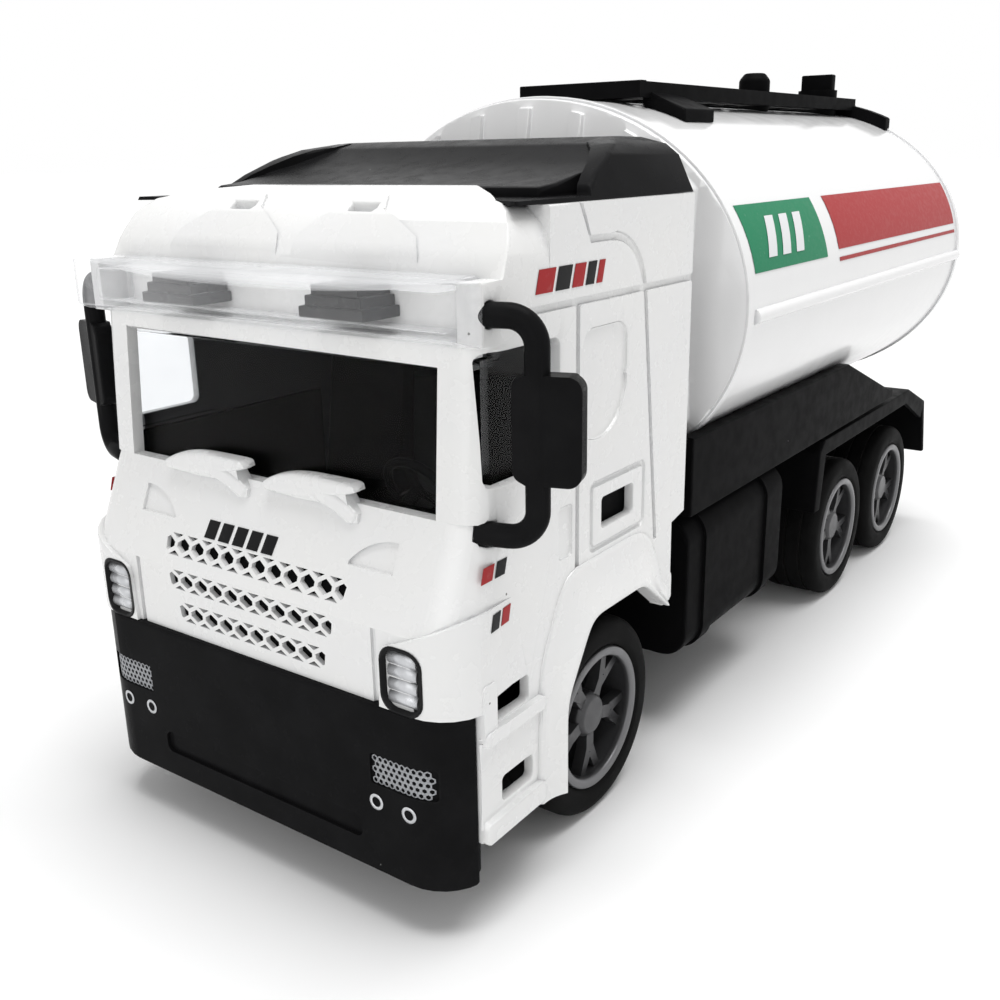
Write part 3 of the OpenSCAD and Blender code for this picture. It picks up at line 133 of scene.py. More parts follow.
# Wipers: stations (y, z, half height) from the middle of the blade at the windscreen's lower edge
WIPER_YS = (-8.6, 5.6)
WIPER_D = SCREEN_LOW_D - 0.1
WIPER_HALF_DEPTH = 1.05
WIPER_LINES = {
    "blade": ((-5.6, 0.1, 0.3), (-4.6, 0.3, 0.7), (-2.8, 0.58, 1.08), (-0.6, 0.78, 1.22), (1.6, 0.95, 1.12),
              (3.4, 1.2, 0.8), (5.0, 1.42, 0.58), (6.6, 1.55, 0.36)),
    "arm": ((0.8, 0.7, 0.8), (2.4, 0.4, 0.9), (4.0, -0.1, 0.92), (5.4, -0.8, 0.86), (6.6, -1.5, 0.6)),
}

# Printing: films stand a little off the paint; fields on the tank are (d, z) low, then high
PRINT_LIFT = 0.03
PRINT_T = 0.03
OVERPRINT_LIFT = 0.07
RED_BAND = (79.8, 55.8, 136.5, 62.4)
PINSTRIPE = (79.8, 54.3, 136.5, 54.8)
GREEN_BLOCK = (52.7, 55.2, 75.5, 62.4)

# Rounding of the solids' edges: the round of each solid, and the limits that decide which edges get one
ROUNDS = {
    "cab_shell": 0.22, "cab_glazing": 0.15, "cab_interior": 0.3, "sun_visor_bar": 0.3, "visor_lamps": 0.12,
    "roof_spoiler": 0.35, "mirror_left": 0.3, "mirror_right": 0.3, "front_bumper": 0.4, "chassis_frame": 0.25,
    "cab_screws": 0.15, "tank_screws": 0.15, "fuel_tank_left": 0.35, "fuel_tank_right": 0.35, "tank_cradle": 0.25,
    "mudguard_left": 0.25, "mudguard_right": 0.25, "tank_barrel": 0.15, "tank_front_head": 0.2,
    "tank_rear_head": 0.2, "catwalk": 0.2, "filler_cap": 0.25, "manhole_lid": 0.25,
    **{name: 0.15 for name in NODES if name.endswith("rim")},
    **{name: 0.2 for name in NODES if name.endswith("tyre")},
    **{name: 0.15 for name in NODES if name.endswith("axle")},
}
ROUND_STEPS = 2
MERGE_M = 2e-6
CUT_M = 1e-6
SHARP_TURN = math.radians(28.0)
CREASE_TURN = math.radians(38)
SEAM_TURN = math.radians(0.6)
LEVEL_TURN = math.radians(0.5)
ONWARD_TURN = math.radians(140)
MOST_HOLES = 4
ROOM_TO_ROUND = 2.3
ROOM_TO_EDGE = 1.2
FOLD_SHARE = 1.03
FOLD_AREA = 1e-9
FOLD_REACH = 1.5


def row_x(d):
    """Row X of a place d behind the foremost point."""
    return TAIL_D / 2 - d


# ---- node trees

class Tree:
    """A node tree with short calls: new(kind, {socket: value or output}, attribute=value) adds a node."""

    def __init__(self, tree):
        self.tree = tree

    def new(self, kind, inputs=None, **attributes):
        node = self.tree.nodes.new(kind)
        for key, value in attributes.items():
            setattr(node, key, value)
        for key, value in (inputs or {}).items():
            socket = node.inputs[key]
            if isinstance(value, bpy.types.NodeSocket):
                self.tree.links.new(value, socket)
            else:
                socket.default_value = value
        return node

    def math(self, operation, a, b=0.0, clamp=False):
        return self.new("ShaderNodeMath", {0: a, 1: b}, operation=operation, use_clamp=clamp).outputs[0]

    def ramp(self, value, low, high, to_low=0.0, to_high=1.0):
        """Value from low to high, spread over to_low to to_high with soft ends."""
        node = self.new("ShaderNodeMapRange", {"Value": value, "From Min": low, "From Max": high,
                                               "To Min": to_low, "To Max": to_high})
        node.interpolation_type = "SMOOTHSTEP"
        return node.outputs["Result"]

    def mix(self, share, a, b):
        """Colour a where share is 0 and colour b where it is 1. The sockets' names repeat, so they go by number."""
        return self.new("ShaderNodeMix", {0: share, 6: a, 7: b}, data_type="RGBA").outputs[2]

    def spot(self, scale):
        """Object coordinates in millimetres, times scale."""
        here = self.new("ShaderNodeTexCoord").outputs["Object"]
        return self.new("ShaderNodeVectorMath", {0: here, 1: (MM_PER_M * scale,) * 3}, operation="MULTIPLY").outputs[0]

    def spot_in(self, size_mm):
        """Object coordinates counted in a size that comes from a socket."""
        here = self.new("ShaderNodeTexCoord").outputs["Object"]
        scale = self.math("DIVIDE", MM_PER_M, size_mm)
        return self.new("ShaderNodeVectorMath", {0: here, "Scale": scale}, operation="SCALE").outputs[0]


def shader_group(name, inputs, output):
    """An empty shader node group with named float inputs and one output, and its inside as a Tree."""
    group = bpy.data.node_groups.new(name, "ShaderNodeTree")
    for label, value in inputs.items():
        socket = group.interface.new_socket(label, in_out="INPUT", socket_type="NodeSocketFloat")
        socket.default_value = value
    group.interface.new_socket(output, in_out="OUTPUT", socket_type="NodeSocketFloat")
    inside = Tree(group)
    given = inside.new("NodeGroupInput").outputs
    wanted = inside.new("NodeGroupOutput").inputs[output]
    return group, inside, given, wanted


def make_mottle():
    """Slow cloudy change over a surface: noise of the given grain size, as a value about 0.5."""
    group, t, given, wanted = shader_group("mottle", {"Size mm": 6.0, "Seed": 0.0}, "Value")
    noise = t.new("ShaderNodeTexNoise", {"Vector": t.spot_in(given["Size mm"]), "W": given["Seed"], "Scale": 1.0,
                                         "Detail": 4.0, "Roughness": 0.55}, noise_dimensions="4D")
    t.tree.links.new(noise.outputs["Fac"], wanted)
    return group


def make_specks():
    """Lone round specks: cells of a Voronoi pattern keep a dot where their random colour is below a limit."""
    group, t, given, wanted = shader_group("specks", {"Cell mm": 3.0, "Share": 0.2, "Dot": 0.06}, "Mask")
    cells = t.new("ShaderNodeTexVoronoi", {"Vector": t.spot_in(given["Cell mm"]), "Scale": 1.0})
    chosen = t.new("ShaderNodeSeparateColor", {"Color": cells.outputs["Color"]}).outputs["Red"]
    near = t.math("LESS_THAN", cells.outputs["Distance"], given["Dot"])
    kept = t.math("LESS_THAN", chosen, given["Share"])
    t.tree.links.new(t.math("MULTIPLY", near, kept), wanted)
    return group


def make_grime():
    """Grooves found by occlusion within a short reach, broken up by noise: where painted shade goes on paint, plastic
    and metal, and pale dust on tyres.
    """
    group, t, given, wanted = shader_group("grime", {"Reach m": 0.0012, "Strength": 1.0}, "Mask")
    shade = t.new("ShaderNodeAmbientOcclusion", {"Distance": given["Reach m"]}, samples=6).outputs["AO"]
    noise = t.new("ShaderNodeTexNoise", {"Vector": t.spot(0.9), "Scale": 1.0, "Detail": 3.0}).outputs["Fac"]
    sunk = t.ramp(shade, 0.85, 0.35)
    broken = t.math("MULTIPLY", sunk, t.ramp(noise, 0.2, 0.75, 0.55, 1.0))
    t.tree.links.new(t.math("MULTIPLY", broken, given["Strength"], clamp=True), wanted)
    return group


def make_wear():
    """Rubbed edges: where the normal turns within a short radius, broken up by noise."""
    group, t, given, wanted = shader_group("wear", {"Radius m": 0.0003, "Strength": 1.0}, "Mask")
    round_normal = t.new("ShaderNodeBevel", {"Radius": given["Radius m"]}, samples=4).outputs["Normal"]
    flat_normal = t.new("ShaderNodeNewGeometry").outputs["Normal"]
    along = t.new("ShaderNodeVectorMath", {0: round_normal, 1: flat_normal}, operation="DOT_PRODUCT").outputs["Value"]
    noise = t.new("ShaderNodeTexNoise", {"Vector": t.spot(0.8), "Scale": 1.0, "Detail": 5.0}).outputs["Fac"]
    edge = t.math("MULTIPLY", t.ramp(along, 0.97, 0.8), t.ramp(noise, 0.42, 0.62))
    t.tree.links.new(t.math("MULTIPLY", edge, given["Strength"], clamp=True), wanted)
    return group


GROUPS = {"mottle": make_mottle(), "specks": make_specks(), "grime": make_grime(), "wear": make_wear()}


# ---- finishes

class Finish(Tree):
    """A material with one Principled shader, whose nodes are added with the Tree calls. Plain values go straight on the
    shader's sockets."""

    def __init__(self, name, **plain):
        self.material = bpy.data.materials.new(name)
        self.material.use_nodes = True
        super().__init__(self.material.node_tree)
        self.shader = self.tree.nodes["Principled BSDF"]
        for label, value in plain.items():
            self.shader.inputs[label.replace("_", " ").title().replace("Ior", "IOR")].default_value = value

    def group(self, name, **values):
        node = self.tree.nodes.new("ShaderNodeGroup")
        node.node_tree = GROUPS[name]
        for label, value in values.items():
            node.inputs[label.replace("_", " ").capitalize()].default_value = value
        return node.outputs[0]

    def feed(self, label, output):
        self.tree.links.new(output, self.shader.inputs[label])

    def bump(self, height, strength, depth_mm):
        node = self.new("ShaderNodeBump", {"Height": height, "Strength": strength, "Distance": depth_mm * MM})
        self.feed("Normal", node.outputs["Normal"])


def rgb(r, g, b):
    return (r, g, b, 1.0)


def times(colour, share):
    """A colour made darker or paler by a factor."""
    return rgb(*(share * c for c in colour[:3]))


COAT = 0.25
HOLLOW_SHADE = rgb(0.03, 0.03, 0.032)
GROOVE_SHADE_GREY = rgb(0.36, 0.37, 0.4)
GROOVE_SHADE_BLACK = rgb(0.03, 0.03, 0.03)
SOIL_TYRE = rgb(0.035, 0.034, 0.032)
SPECK_DARK = rgb(0.09, 0.085, 0.08)
SPECK_PALE = rgb(0.3, 0.3, 0.3)
RUBBER_DARK = rgb(0.005, 0.005, 0.005)
RUBBER_PALE = rgb(0.009, 0.009, 0.009)
RUBBER_RUB = rgb(0.03, 0.03, 0.03)
UNDER_INK = 0.8


def enamel(name, base, shade, rough, groove_shade, seed, peel, on_cab=False):
    """Glossy sprayed paint or white moulding: cloudy tone, painted grey shade in the grooves and a fine orange peel. On
    the cab it also has dark dust specks, and the walls of the cab's hollow get near-black painted shade."""
    f = Finish(name, coat_weight=COAT, coat_roughness=0.06)
    cloud = f.group("mottle", size_mm=9.0, seed=seed)
    colour = f.mix(f.ramp(cloud, 0.3, 0.7), base, shade)
    polish = f.ramp(f.group("mottle", size_mm=2.6, seed=seed + 3), 0.3, 0.7, *rough)
    # Painted shade: grey in the grooves that occlusion finds
    colour = f.mix(f.group("grime", strength=groove_shade), colour, GROOVE_SHADE_GREY)
    if on_cab:
        colour = f.mix(f.group("specks", cell_mm=3.4, share=0.14, dot=0.035), colour, SPECK_DARK)
        # The cab's hollow: its walls get near-black painted shade and lose their coat
        x, y, z = f.new("ShaderNodeSeparateXYZ", {0: f.spot(1.0)}).outputs
        hollow = f.math("LESS_THAN", f.math("ABSOLUTE", y), HOLLOW_HALF_W)
        hollow = f.math("MULTIPLY", hollow, f.math("LESS_THAN", x, row_x(HOLLOW_FRONT_D)))
        hollow = f.math("MULTIPLY", hollow, f.math("LESS_THAN", z, HOLLOW_TOP_Z))
        colour = f.mix(hollow, colour, HOLLOW_SHADE)
        polish = f.math("ADD", polish, f.math("MULTIPLY", hollow, 0.5))
        f.feed("Coat Weight", f.math("MULTIPLY", f.math("SUBTRACT", 1.0, hollow), COAT))
    f.feed("Base Color", colour)
    f.feed("Roughness", polish)
    f.bump(f.group("mottle", size_mm=0.7, seed=seed + 7), 0.3, peel)
    return f.material


def moulded_black(name, base, rub, rough, shine):
    """Black moulding: cloudy gloss, greyish rubbed edges, pale dust specks and a fine grain."""
    f = Finish(name, specular_ior_level=shine)
    cloud = f.group("mottle", size_mm=5.0, seed=2.0)
    colour = f.mix(f.ramp(cloud, 0.3, 0.75), base, times(base, 1.4))
    colour = f.mix(f.group("wear", strength=0.5), colour, rub)
    colour = f.mix(f.group("specks", cell_mm=2.6, share=0.3, dot=0.025), colour, SPECK_PALE)
    f.feed("Base Color", colour)
    f.feed("Roughness", f.ramp(f.group("mottle", size_mm=1.8, seed=5.0), 0.25, 0.75, *rough))
    f.bump(f.group("mottle", size_mm=0.25, seed=9.0), 0.25, 0.02)
    return f.material


def clear(name, tint, rough, haze, cloud_mm, ior):
    """Clear moulding: faint tint, cloudy polish, dust and shallow flow waves."""
    f = Finish(name, ior=ior, transmission_weight=1.0)
    cloud = f.group("mottle", size_mm=cloud_mm, seed=4.0)
    f.feed("Base Color", f.mix(f.ramp(cloud, 0.3, 0.7), tint, times(tint, 0.93)))
    specks = f.group("specks", cell_mm=2.2, share=0.25, dot=0.03)
    f.feed("Roughness", f.math("ADD", f.ramp(cloud, 0.3, 0.8, rough, rough + haze),
                               f.math("MULTIPLY", specks, 0.5)))
    f.bump(f.group("mottle", size_mm=2.4, seed=6.0), 0.25, 0.02)
    return f.material


def thin_clear(name, tint, rough, facing, edge):
    """Clear moulding that is mostly seen through: its cover rises from facing to edge as it turns away from the view,
    and flow clouds, dust and shallow waves break it up."""
    f = Finish(name, specular_ior_level=0.5)
    cloud = f.group("mottle", size_mm=4.0, seed=4.0)
    f.feed("Base Color", f.mix(f.ramp(cloud, 0.3, 0.7), tint, times(tint, 0.9)))
    away = f.new("ShaderNodeLayerWeight", {"Blend": 0.5}).outputs["Facing"]
    specks = f.group("specks", cell_mm=2.2, share=0.25, dot=0.03)
    cover = f.math("ADD", f.ramp(away, 0.25, 0.95, facing, edge), f.ramp(cloud, 0.45, 0.8, 0.0, 0.07))
    f.feed("Alpha", f.math("ADD", cover, f.math("MULTIPLY", specks, 0.3), clamp=True))
    f.feed("Roughness", f.ramp(cloud, 0.3, 0.8, rough, rough + 0.1))
    f.bump(f.group("mottle", size_mm=2.4, seed=6.0), 0.3, 0.03)
    return f.material


def silver(name, base, rough, metallic, lip=None):
    """Silver plastic or bare metal: cloudy polish, painted shade darkening the corners. With a lip colour, what stands
    at the wheels' outer faces is paler, as on a rim with a polished edge."""
    f = Finish(name, metallic=metallic)
    cloud = f.group("mottle", size_mm=2.0, seed=1.0)
    colour = f.mix(f.ramp(cloud, 0.3, 0.7), base, times(base, 0.8))
    if lip:
        sideways = f.new("ShaderNodeSeparateXYZ", {0: f.spot(1.0)}).outputs["Y"]
        colour = f.mix(f.ramp(f.math("ABSOLUTE", sideways), WHEEL_FACE_Y - 1.0, WHEEL_FACE_Y - 0.4), colour, lip)
    # Painted shade: corners darkened towards black where occlusion finds them
    f.feed("Base Color", f.mix(f.group("grime", strength=0.8), colour, GROOVE_SHADE_BLACK))
    f.feed("Roughness", f.ramp(cloud, 0.25, 0.75, *rough))
    f.bump(f.group("mottle", size_mm=0.3, seed=8.0), 0.2, 0.01)
    return f.material


def rubber(name):
    """Tyre rubber: dull black with grey dust in the grooves and a fine pebble grain."""
    f = Finish(name, specular_ior_level=0.03)
    cloud = f.group("mottle", size_mm=3.0, seed=3.0)
    colour = f.mix(f.ramp(cloud, 0.3, 0.75), RUBBER_DARK, RUBBER_PALE)
    colour = f.mix(f.group("wear", strength=0.4), colour, RUBBER_RUB)
    colour = f.mix(f.group("grime", strength=0.3), colour, SOIL_TYRE)
    f.feed("Base Color", colour)
    f.feed("Roughness", f.ramp(cloud, 0.25, 0.75, 0.5, 0.72))
    f.bump(f.group("mottle", size_mm=0.18, seed=2.0), 0.4, 0.03)
    return f.material


def ink(name, base, thin=0.12):
    """Printed ink: slightly uneven cover that lets a thin share of the white through."""
    f = Finish(name, specular_ior_level=0.1)
    cloud = f.group("mottle", size_mm=0.8, seed=5.0)
    pale = rgb(*(c + (UNDER_INK - c) * thin for c in base[:3]))
    f.feed("Base Color", f.mix(f.ramp(cloud, 0.55, 0.85), base, pale))
    f.feed("Roughness", f.ramp(cloud, 0.3, 0.7, 0.3, 0.42))
    f.bump(f.group("mottle", size_mm=0.25, seed=1.0), 0.15, 0.01)
    return f.material


FINISHES = {
    "white_paint": enamel("white_paint", rgb(0.8, 0.8, 0.79), rgb(0.792, 0.794, 0.792), rough=(0.25, 0.29), groove_shade=0.3,
                          seed=0.0, peel=0.03, on_cab=True),
    "white_plastic": enamel("white_plastic", rgb(0.82, 0.82, 0.82), rgb(0.81, 0.808, 0.81), rough=(0.15, 0.2),
                            groove_shade=0.4, seed=11.0, peel=0.01),
    "black_gloss": moulded_black("black_gloss", rgb(0.008, 0.008, 0.0084), rub=rgb(0.022, 0.022, 0.023),
                                 rough=(0.18, 0.3), shine=0.012),
    "black_matte": moulded_black("black_matte", rgb(0.0045, 0.0045, 0.0048), rub=rgb(0.014, 0.014, 0.014),
                                 rough=(0.36, 0.5), shine=0.01),
    "grey_plastic": silver("grey_plastic", rgb(0.03, 0.032, 0.035), rough=(0.25, 0.4), metallic=0.2),
    "clear_dark": clear("clear_dark", rgb(0.96, 0.97, 0.98), rough=0.01, haze=0.04, cloud_mm=12.0, ior=1.1),
    "clear_frosted": thin_clear("clear_frosted", rgb(0.88, 0.885, 0.9), rough=0.08, facing=0.04, edge=0.55),
    "silver_rim": silver("silver_rim", rgb(0.07, 0.07, 0.073), rough=(0.28, 0.44), metallic=0.5,
                         lip=rgb(0.15, 0.15, 0.155)),
    "steel": silver("steel", rgb(0.5, 0.5, 0.51), rough=(0.2, 0.35), metallic=1.0),
    "tyre": rubber("tyre"),
}
INK_BLACK = ink("ink_black", rgb(0.006, 0.006, 0.0065), thin=0.02)
INK_RED = ink("ink_red", rgb(0.36, 0.02, 0.022))
INK_GREEN = ink("ink_green", rgb(0.006, 0.2, 0.09))
INK_GREY = ink("ink_grey", rgb(0.4, 0.41, 0.43), thin=0.3)
INK_WHITE = ink("ink_white", rgb(0.75, 0.76, 0.77), thin=0.0)
INK_SILVER = silver("ink_silver", rgb(0.66, 0.67, 0.69), rough=(0.22, 0.4), metallic=0.4)


# ---- softened copies of the solids

def soften(name, width):
    """Copy of a solid that stands for it: triangles merged, flat areas joined, and each sharp edge that has room
    for it rounded by width. An edge has room if the edges beside it in its faces are longer than the round."""
    bm = bmesh.new()
    bm.from_mesh(NODES[name].data)
    bmesh.ops.remove_doubles(bm, verts=bm.verts, dist=MERGE_M)
    join_flats(bm)
    chosen = {e for e in bm.edges if e.is_manifold and e.calc_face_angle(0.0) > SHARP_TURN
              and not any(x.seam for v in e.verts for x in v.link_edges) and not in_lamp_pocket(e)}
    size = width * MM
    while True:
        tight = {e for e in chosen if not has_room(e, chosen, size)}
        if not tight:
            break
        chosen -= tight
    bm = rounded(bm, chosen, size)
    for face in bm.faces:
        face.smooth = True
    for edge in bm.edges:
        edge.smooth = not edge.is_manifold or edge.calc_face_angle(0.0) < (SEAM_TURN if edge.seam else CREASE_TURN)
    mesh = bpy.data.meshes.new(name + "_soft")
    bm.to_mesh(mesh)
    bm.free()
    add_piece(name + "_soft", mesh, FINISHES[SLOTS[name]], NODES[name]["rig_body"], SLOTS[name], name)


def rounded(bm, chosen, size):
    """The mesh with its chosen edges rounded. Rounds that would fold a flat part over itself are left out: there, the
    triangles of the part have more area than the part."""
    bm.edges.index_update()
    while True:
        trial = bm.copy()
        trial.edges.ensure_lookup_table()
        bmesh.ops.bevel(trial, geom=[trial.edges[i] for i in sorted(e.index for e in chosen)], offset=size,
                        offset_type="OFFSET", segments=ROUND_STEPS, profile=0.5, affect="EDGES", clamp_overlap=False,
                        loop_slide=True)
        trial.normal_update()
        folded = []
        for face in [f for f in trial.faces if len(f.verts) > 4]:
            area = face.calc_area()
            corners = np.array([v.co for v in face.verts])
            pieces = bmesh.ops.triangulate(trial, faces=[face])["faces"]
            if sum(p.calc_area() for p in pieces) > FOLD_SHARE * area + FOLD_AREA:
                folded.append((corners.min(axis=0) - FOLD_REACH * size, corners.max(axis=0) + FOLD_REACH * size))
        kept = {e for e in chosen if not any(all(low[k] < v.co[k] < high[k] for v in e.verts for k in range(3))
                                             for low, high in folded)}
        if len(kept) == len(chosen):
            bm.free()
            trial.normal_update()
            return trial
        trial.free()
        chosen = kept


def in_lamp_pocket(edge):
    """True for an edge of the headlamp pockets in the cab's nose."""
    x, y, z = (edge.verts[0].co + edge.verts[1].co) / (2 * MM)
    return (x > row_x(POCKET_D) and POCKET_IN_Y < abs(y) < POCKET_OUT_Y
            and NOSE_LOW_Z - POCKET_MARGIN < z < NOSE_BREAK_Z)


def join_flats(bm):
    """Joins the triangles of each flat area. An area with a few holes is first cut straight through the middle of each
    hole, so that none of its parts goes round a hole. An area with many keeps its triangles, marked by seams."""
    number = bm.faces.layers.int.new("flat_area")
    cuts = {}
    for start in bm.faces[:]:
        if start[number]:
            continue
        index = len(cuts) + 1
        start[number] = index
        area = [start]
        for face in area:
            for edge in face.edges:
                for near in edge.link_faces:
                    if not near[number] and edge.is_manifold and edge.calc_face_angle(math.pi) < LEVEL_TURN:
                        near[number] = index
                        area.append(near)
        holes = hole_middles(area)
        cuts[index] = holes
        if len(holes) > MOST_HOLES:
            cuts[index] = None
            for edge in {e for f in area for e in f.edges}:
                edge.seam = True
    for index, holes in cuts.items():
        for middle, across in holes or ():
            area = [f for f in bm.faces if f[number] == index]
            geom = area + list({e for f in area for e in f.edges}) + list({v for f in area for v in f.verts})
            bmesh.ops.bisect_plane(bm, geom=geom, dist=CUT_M, plane_co=middle, plane_no=across)

    def part(face):
        here = face.calc_center_median()
        return face[number], [(here - middle).dot(across) > 0 for middle, across in cuts[face[number]]]

    joined = [e for e in bm.edges if e.is_manifold and cuts[e.link_faces[0][number]] is not None
              and e.link_faces[0][number] == e.link_faces[1][number]
              and part(e.link_faces[0]) == part(e.link_faces[1])]
    bmesh.ops.dissolve_limit(bm, angle_limit=LEVEL_TURN, verts=bm.verts[:], edges=joined, delimit={"SEAM"})


def hole_middles(area):
    """Middle of each hole of a flat area, with the level direction across which it is cut. Border edges that hang
    together are one outline; the one with the widest box is the area's outside."""
    inside = set(area)
    border = {e for f in area for e in f.edges if not all(near in inside for near in e.link_faces)}
    outlines = []
    while border:
        waiting = [min(border, key=lambda e: e.index)]
        border.discard(waiting[0])
        corners = []
        for edge in waiting:
            for vert in edge.verts:
                corners.append(vert.co)
                fresh = [e for e in vert.link_edges if e in border]
                border.difference_update(fresh)
                waiting.extend(fresh)
        low, high = (Vector([pick(c[k] for c in corners) for k in range(3)]) for pick in (min, max))
        outlines.append(((high - low).length, (low + high) / 2))
    outlines.sort(key=lambda o: -o[0])
    normal = area[0].normal
    across = Vector((0, 1, 0)) if abs(normal.x) > 0.7 else Vector((1, 0, 0))
    across = (across - normal * across.dot(normal)).normalized()
    return [(middle, across) for _, middle in outlines[1:]]


def has_room(edge, chosen, size):
    """True if the neighbours of an edge in its two faces leave room for a round of that size: the length of each, times
    the sine of its angle to the edge, is its reach away from the edge."""
    for loop in edge.link_loops:
        beside = ((loop.link_loop_prev.edge, loop.vert), (loop.link_loop_next.edge, edge.other_vert(loop.vert)))
        for near, vert in beside:
            a = edge.other_vert(vert).co - vert.co
            b = near.other_vert(vert).co - vert.co
            between = a.angle(b, math.pi)
            if between > ONWARD_TURN:
                continue
            reach = near.calc_length() * math.sin(min(between, math.pi / 2))
            if reach < size * (ROOM_TO_ROUND if near in chosen else ROOM_TO_EDGE):
                return False
    return True


def add_piece(name, mesh, material, body, slot=None, *stands_for):
    """Puts a finished mesh into the scene on a body, with its finish and the solids that it stands for."""
    obj = bpy.data.objects.new(name, mesh)
    bpy.context.scene.collection.objects.link(obj)
    mesh.materials.append(material)
    if stands_for:
        normals = obj.modifiers.new("even_normals", "WEIGHTED_NORMAL")
        normals.keep_sharp = True
        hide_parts(*stands_for)
    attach(obj, body)
    return obj


# ---- surfaces that carry printing: each takes two places and gives points and outward normals

def tank_side(sign, lift=0.0):
    """Surface of the tank's oval on one side, grown by lift, by distance behind the foremost point and height: the
    half width times the root of 1 - rise^2, where rise is the height over the middle as a share of the half height."""
    def at(d, z):
        rise = (z - TANK_MID_Z) / TANK_HALF_H
        y = TANK_HALF_W * np.sqrt(1 - rise ** 2) + lift
        normal = np.stack([np.zeros_like(d), y / TANK_HALF_W ** 2, rise / TANK_HALF_H], axis=1)
        normal /= np.linalg.norm(normal, axis=1, keepdims=True)
        normal[:, 1] *= sign
        return np.stack([row_x(d), sign * y, z], axis=1), normal
    return at


def cab_side(sign):
    """The flat side of the cab, half its width from the middle, by distance behind the foremost point and height."""
    def at(d, z):
        normal = np.tile([0.0, sign, 0.0], (len(d), 1))
        return np.stack([row_x(d), np.full_like(d, sign * HALF_W), z], axis=1), normal
    return at


def pod_side(sign):
    """The side face of a lamp pod, by distance behind and height. It runs back into the cab's side: its place sideways
    falls evenly with the distance."""
    def at(d, z):
        normal = np.tile([-POD_LEAN, sign, 0.0] / np.hypot(1, POD_LEAN), (len(d), 1))
        return np.stack([row_x(d), sign * (POD_OUT_Y - POD_LEAN * (d - POD_START_D)), z], axis=1), normal
    return at


def rounded_front(front_d, out_y, radius):
    """An upright front face whose corners are quarter rounds, by sideways place and height: past the flat part, it
    falls back by the radius less the root of radius^2 - past^2."""
    def at(y, z):
        past = np.clip(np.abs(y) - (out_y - radius), 0, radius * 0.999)
        back = np.sqrt(radius ** 2 - past ** 2)
        normal = np.stack([back / radius, np.sign(y) * past / radius, np.zeros_like(y)], axis=1)
        return np.stack([row_x(front_d + radius - back), y, z], axis=1), normal
    return at


def nose_slope(y, z):
    """The flat slope of the nose under the windscreen, by sideways place and height: straight from the break of the
    nose to the screen's lower edge."""
    share = (z - NOSE_BREAK_Z) / (SCREEN_LOW_Z - NOSE_BREAK_Z)
    d = NOSE_D + share * (SCREEN_LOW_D - NOSE_D)
    lean = np.array([SCREEN_LOW_Z - NOSE_BREAK_Z, 0.0, SCREEN_LOW_D - NOSE_D])
    normal = np.tile(lean / np.linalg.norm(lean), (len(y), 1))
    return np.stack([row_x(d), y, z], axis=1), normal


def lamp_lens(side):
    """Face of a ribbed headlamp lens, by sideways place and height: round bars, one above the other, each standing out
    by the root of radius^2 - off^2, where off is the height from the nearest bar's middle."""
    def at(y, z):
        centres = LENS_BAR_LOW_Z + LENS_BAR_PITCH * np.arange(LENS_BAR_COUNT)
        off = z - centres[np.abs(z[:, None] - centres).argmin(axis=1)]
        out = np.sqrt(np.maximum(LENS_R ** 2 - off ** 2, 1e-4))
        normal = np.stack([out, np.zeros_like(z), off], axis=1) / np.hypot(out, off)[:, None]
        return np.stack([row_x(LENS_AXIS_D - out), side * y, z], axis=1), normal
    return at


# ---- outlines and grids

def box_field(u0, v0, u1, v1):
    """Corners of a rectangle."""
    return [(u0, v0), (u1, v0), (u1, v1), (u0, v1)]


def slanted_bars(u0, v0, widths, height, gap, lean):
    """A row of leaning bars of the given widths, from (u0, v0) along u, as corner lists."""
    starts = u0 + (np.cumsum([0, *widths[:-1]]) + gap * np.arange(len(widths)))
    return [[(u, v0), (u + w, v0), (u + (w + lean), v0 + height), (u + lean, v0 + height)]
            for u, w in zip(starts, widths)]


def soft_outline(u0, v0, u1, v1, r, steps=7):
    """Points round a rectangle with quarter-round corners."""
    turn = np.linspace(0, np.pi / 2, steps)
    centres = [(u1 - r, v1 - r, 0), (u0 + r, v1 - r, 1), (u0 + r, v0 + r, 2), (u1 - r, v0 + r, 3)]
    return np.concatenate([np.stack([cu + r * np.cos(turn + q * np.pi / 2), cv + r * np.sin(turn + q * np.pi / 2)],
                                    axis=1) for cu, cv, q in centres])


def circle_line(u, v, r, n=28):
    """Points on a circle."""
    turn = np.linspace(0, 2 * np.pi, n, endpoint=False)
    return np.stack([u + r * np.cos(turn), v + r * np.sin(turn)], axis=1)


def hex_net(u0, v0, columns, rows, pitch, web):
    """Outlines of a honeycomb as six thin quads a cell: inner and outer corners of each hexagon, odd rows shifted."""
    column, row = (a.ravel() for a in np.meshgrid(np.arange(columns), np.arange(rows)))
    u = u0 + pitch * (column + 0.5 + 0.5 * (row % 2))
    v = v0 + pitch * (0.5 + math.sqrt(3) / 2 * row)
    turn = np.radians(30 + 60 * np.arange(7))
    rim = np.stack([np.cos(turn), np.sin(turn)], axis=1) / math.sqrt(3)
    centre = np.stack([u, v], axis=1)[:, None, :]
    inner, outer = centre + (pitch - web) * rim, centre + pitch * rim
    cells = np.stack([inner[:, :-1], inner[:, 1:], outer[:, 1:], outer[:, :-1]], axis=2)
    return cells.reshape(-1, 4, 2)


def grid_quads(rows, columns):
    """Corner numbers of the quads of a grid of points, row by row."""
    first = (np.arange(rows - 1)[:, None] * columns + np.arange(columns - 1)).ravel()
    return np.stack([first, first + 1, first + columns + 1, first + columns], axis=1)


def ring_quads(rows, around):
    """Corner numbers of the quads between closed rows of points, row by row."""
    first = np.arange(rows - 1)[:, None] * around
    here = np.arange(around)
    after = (here + 1) % around
    return np.stack([first + here, first + after, first + after + around, first + here + around],
                    axis=2).reshape(-1, 4)


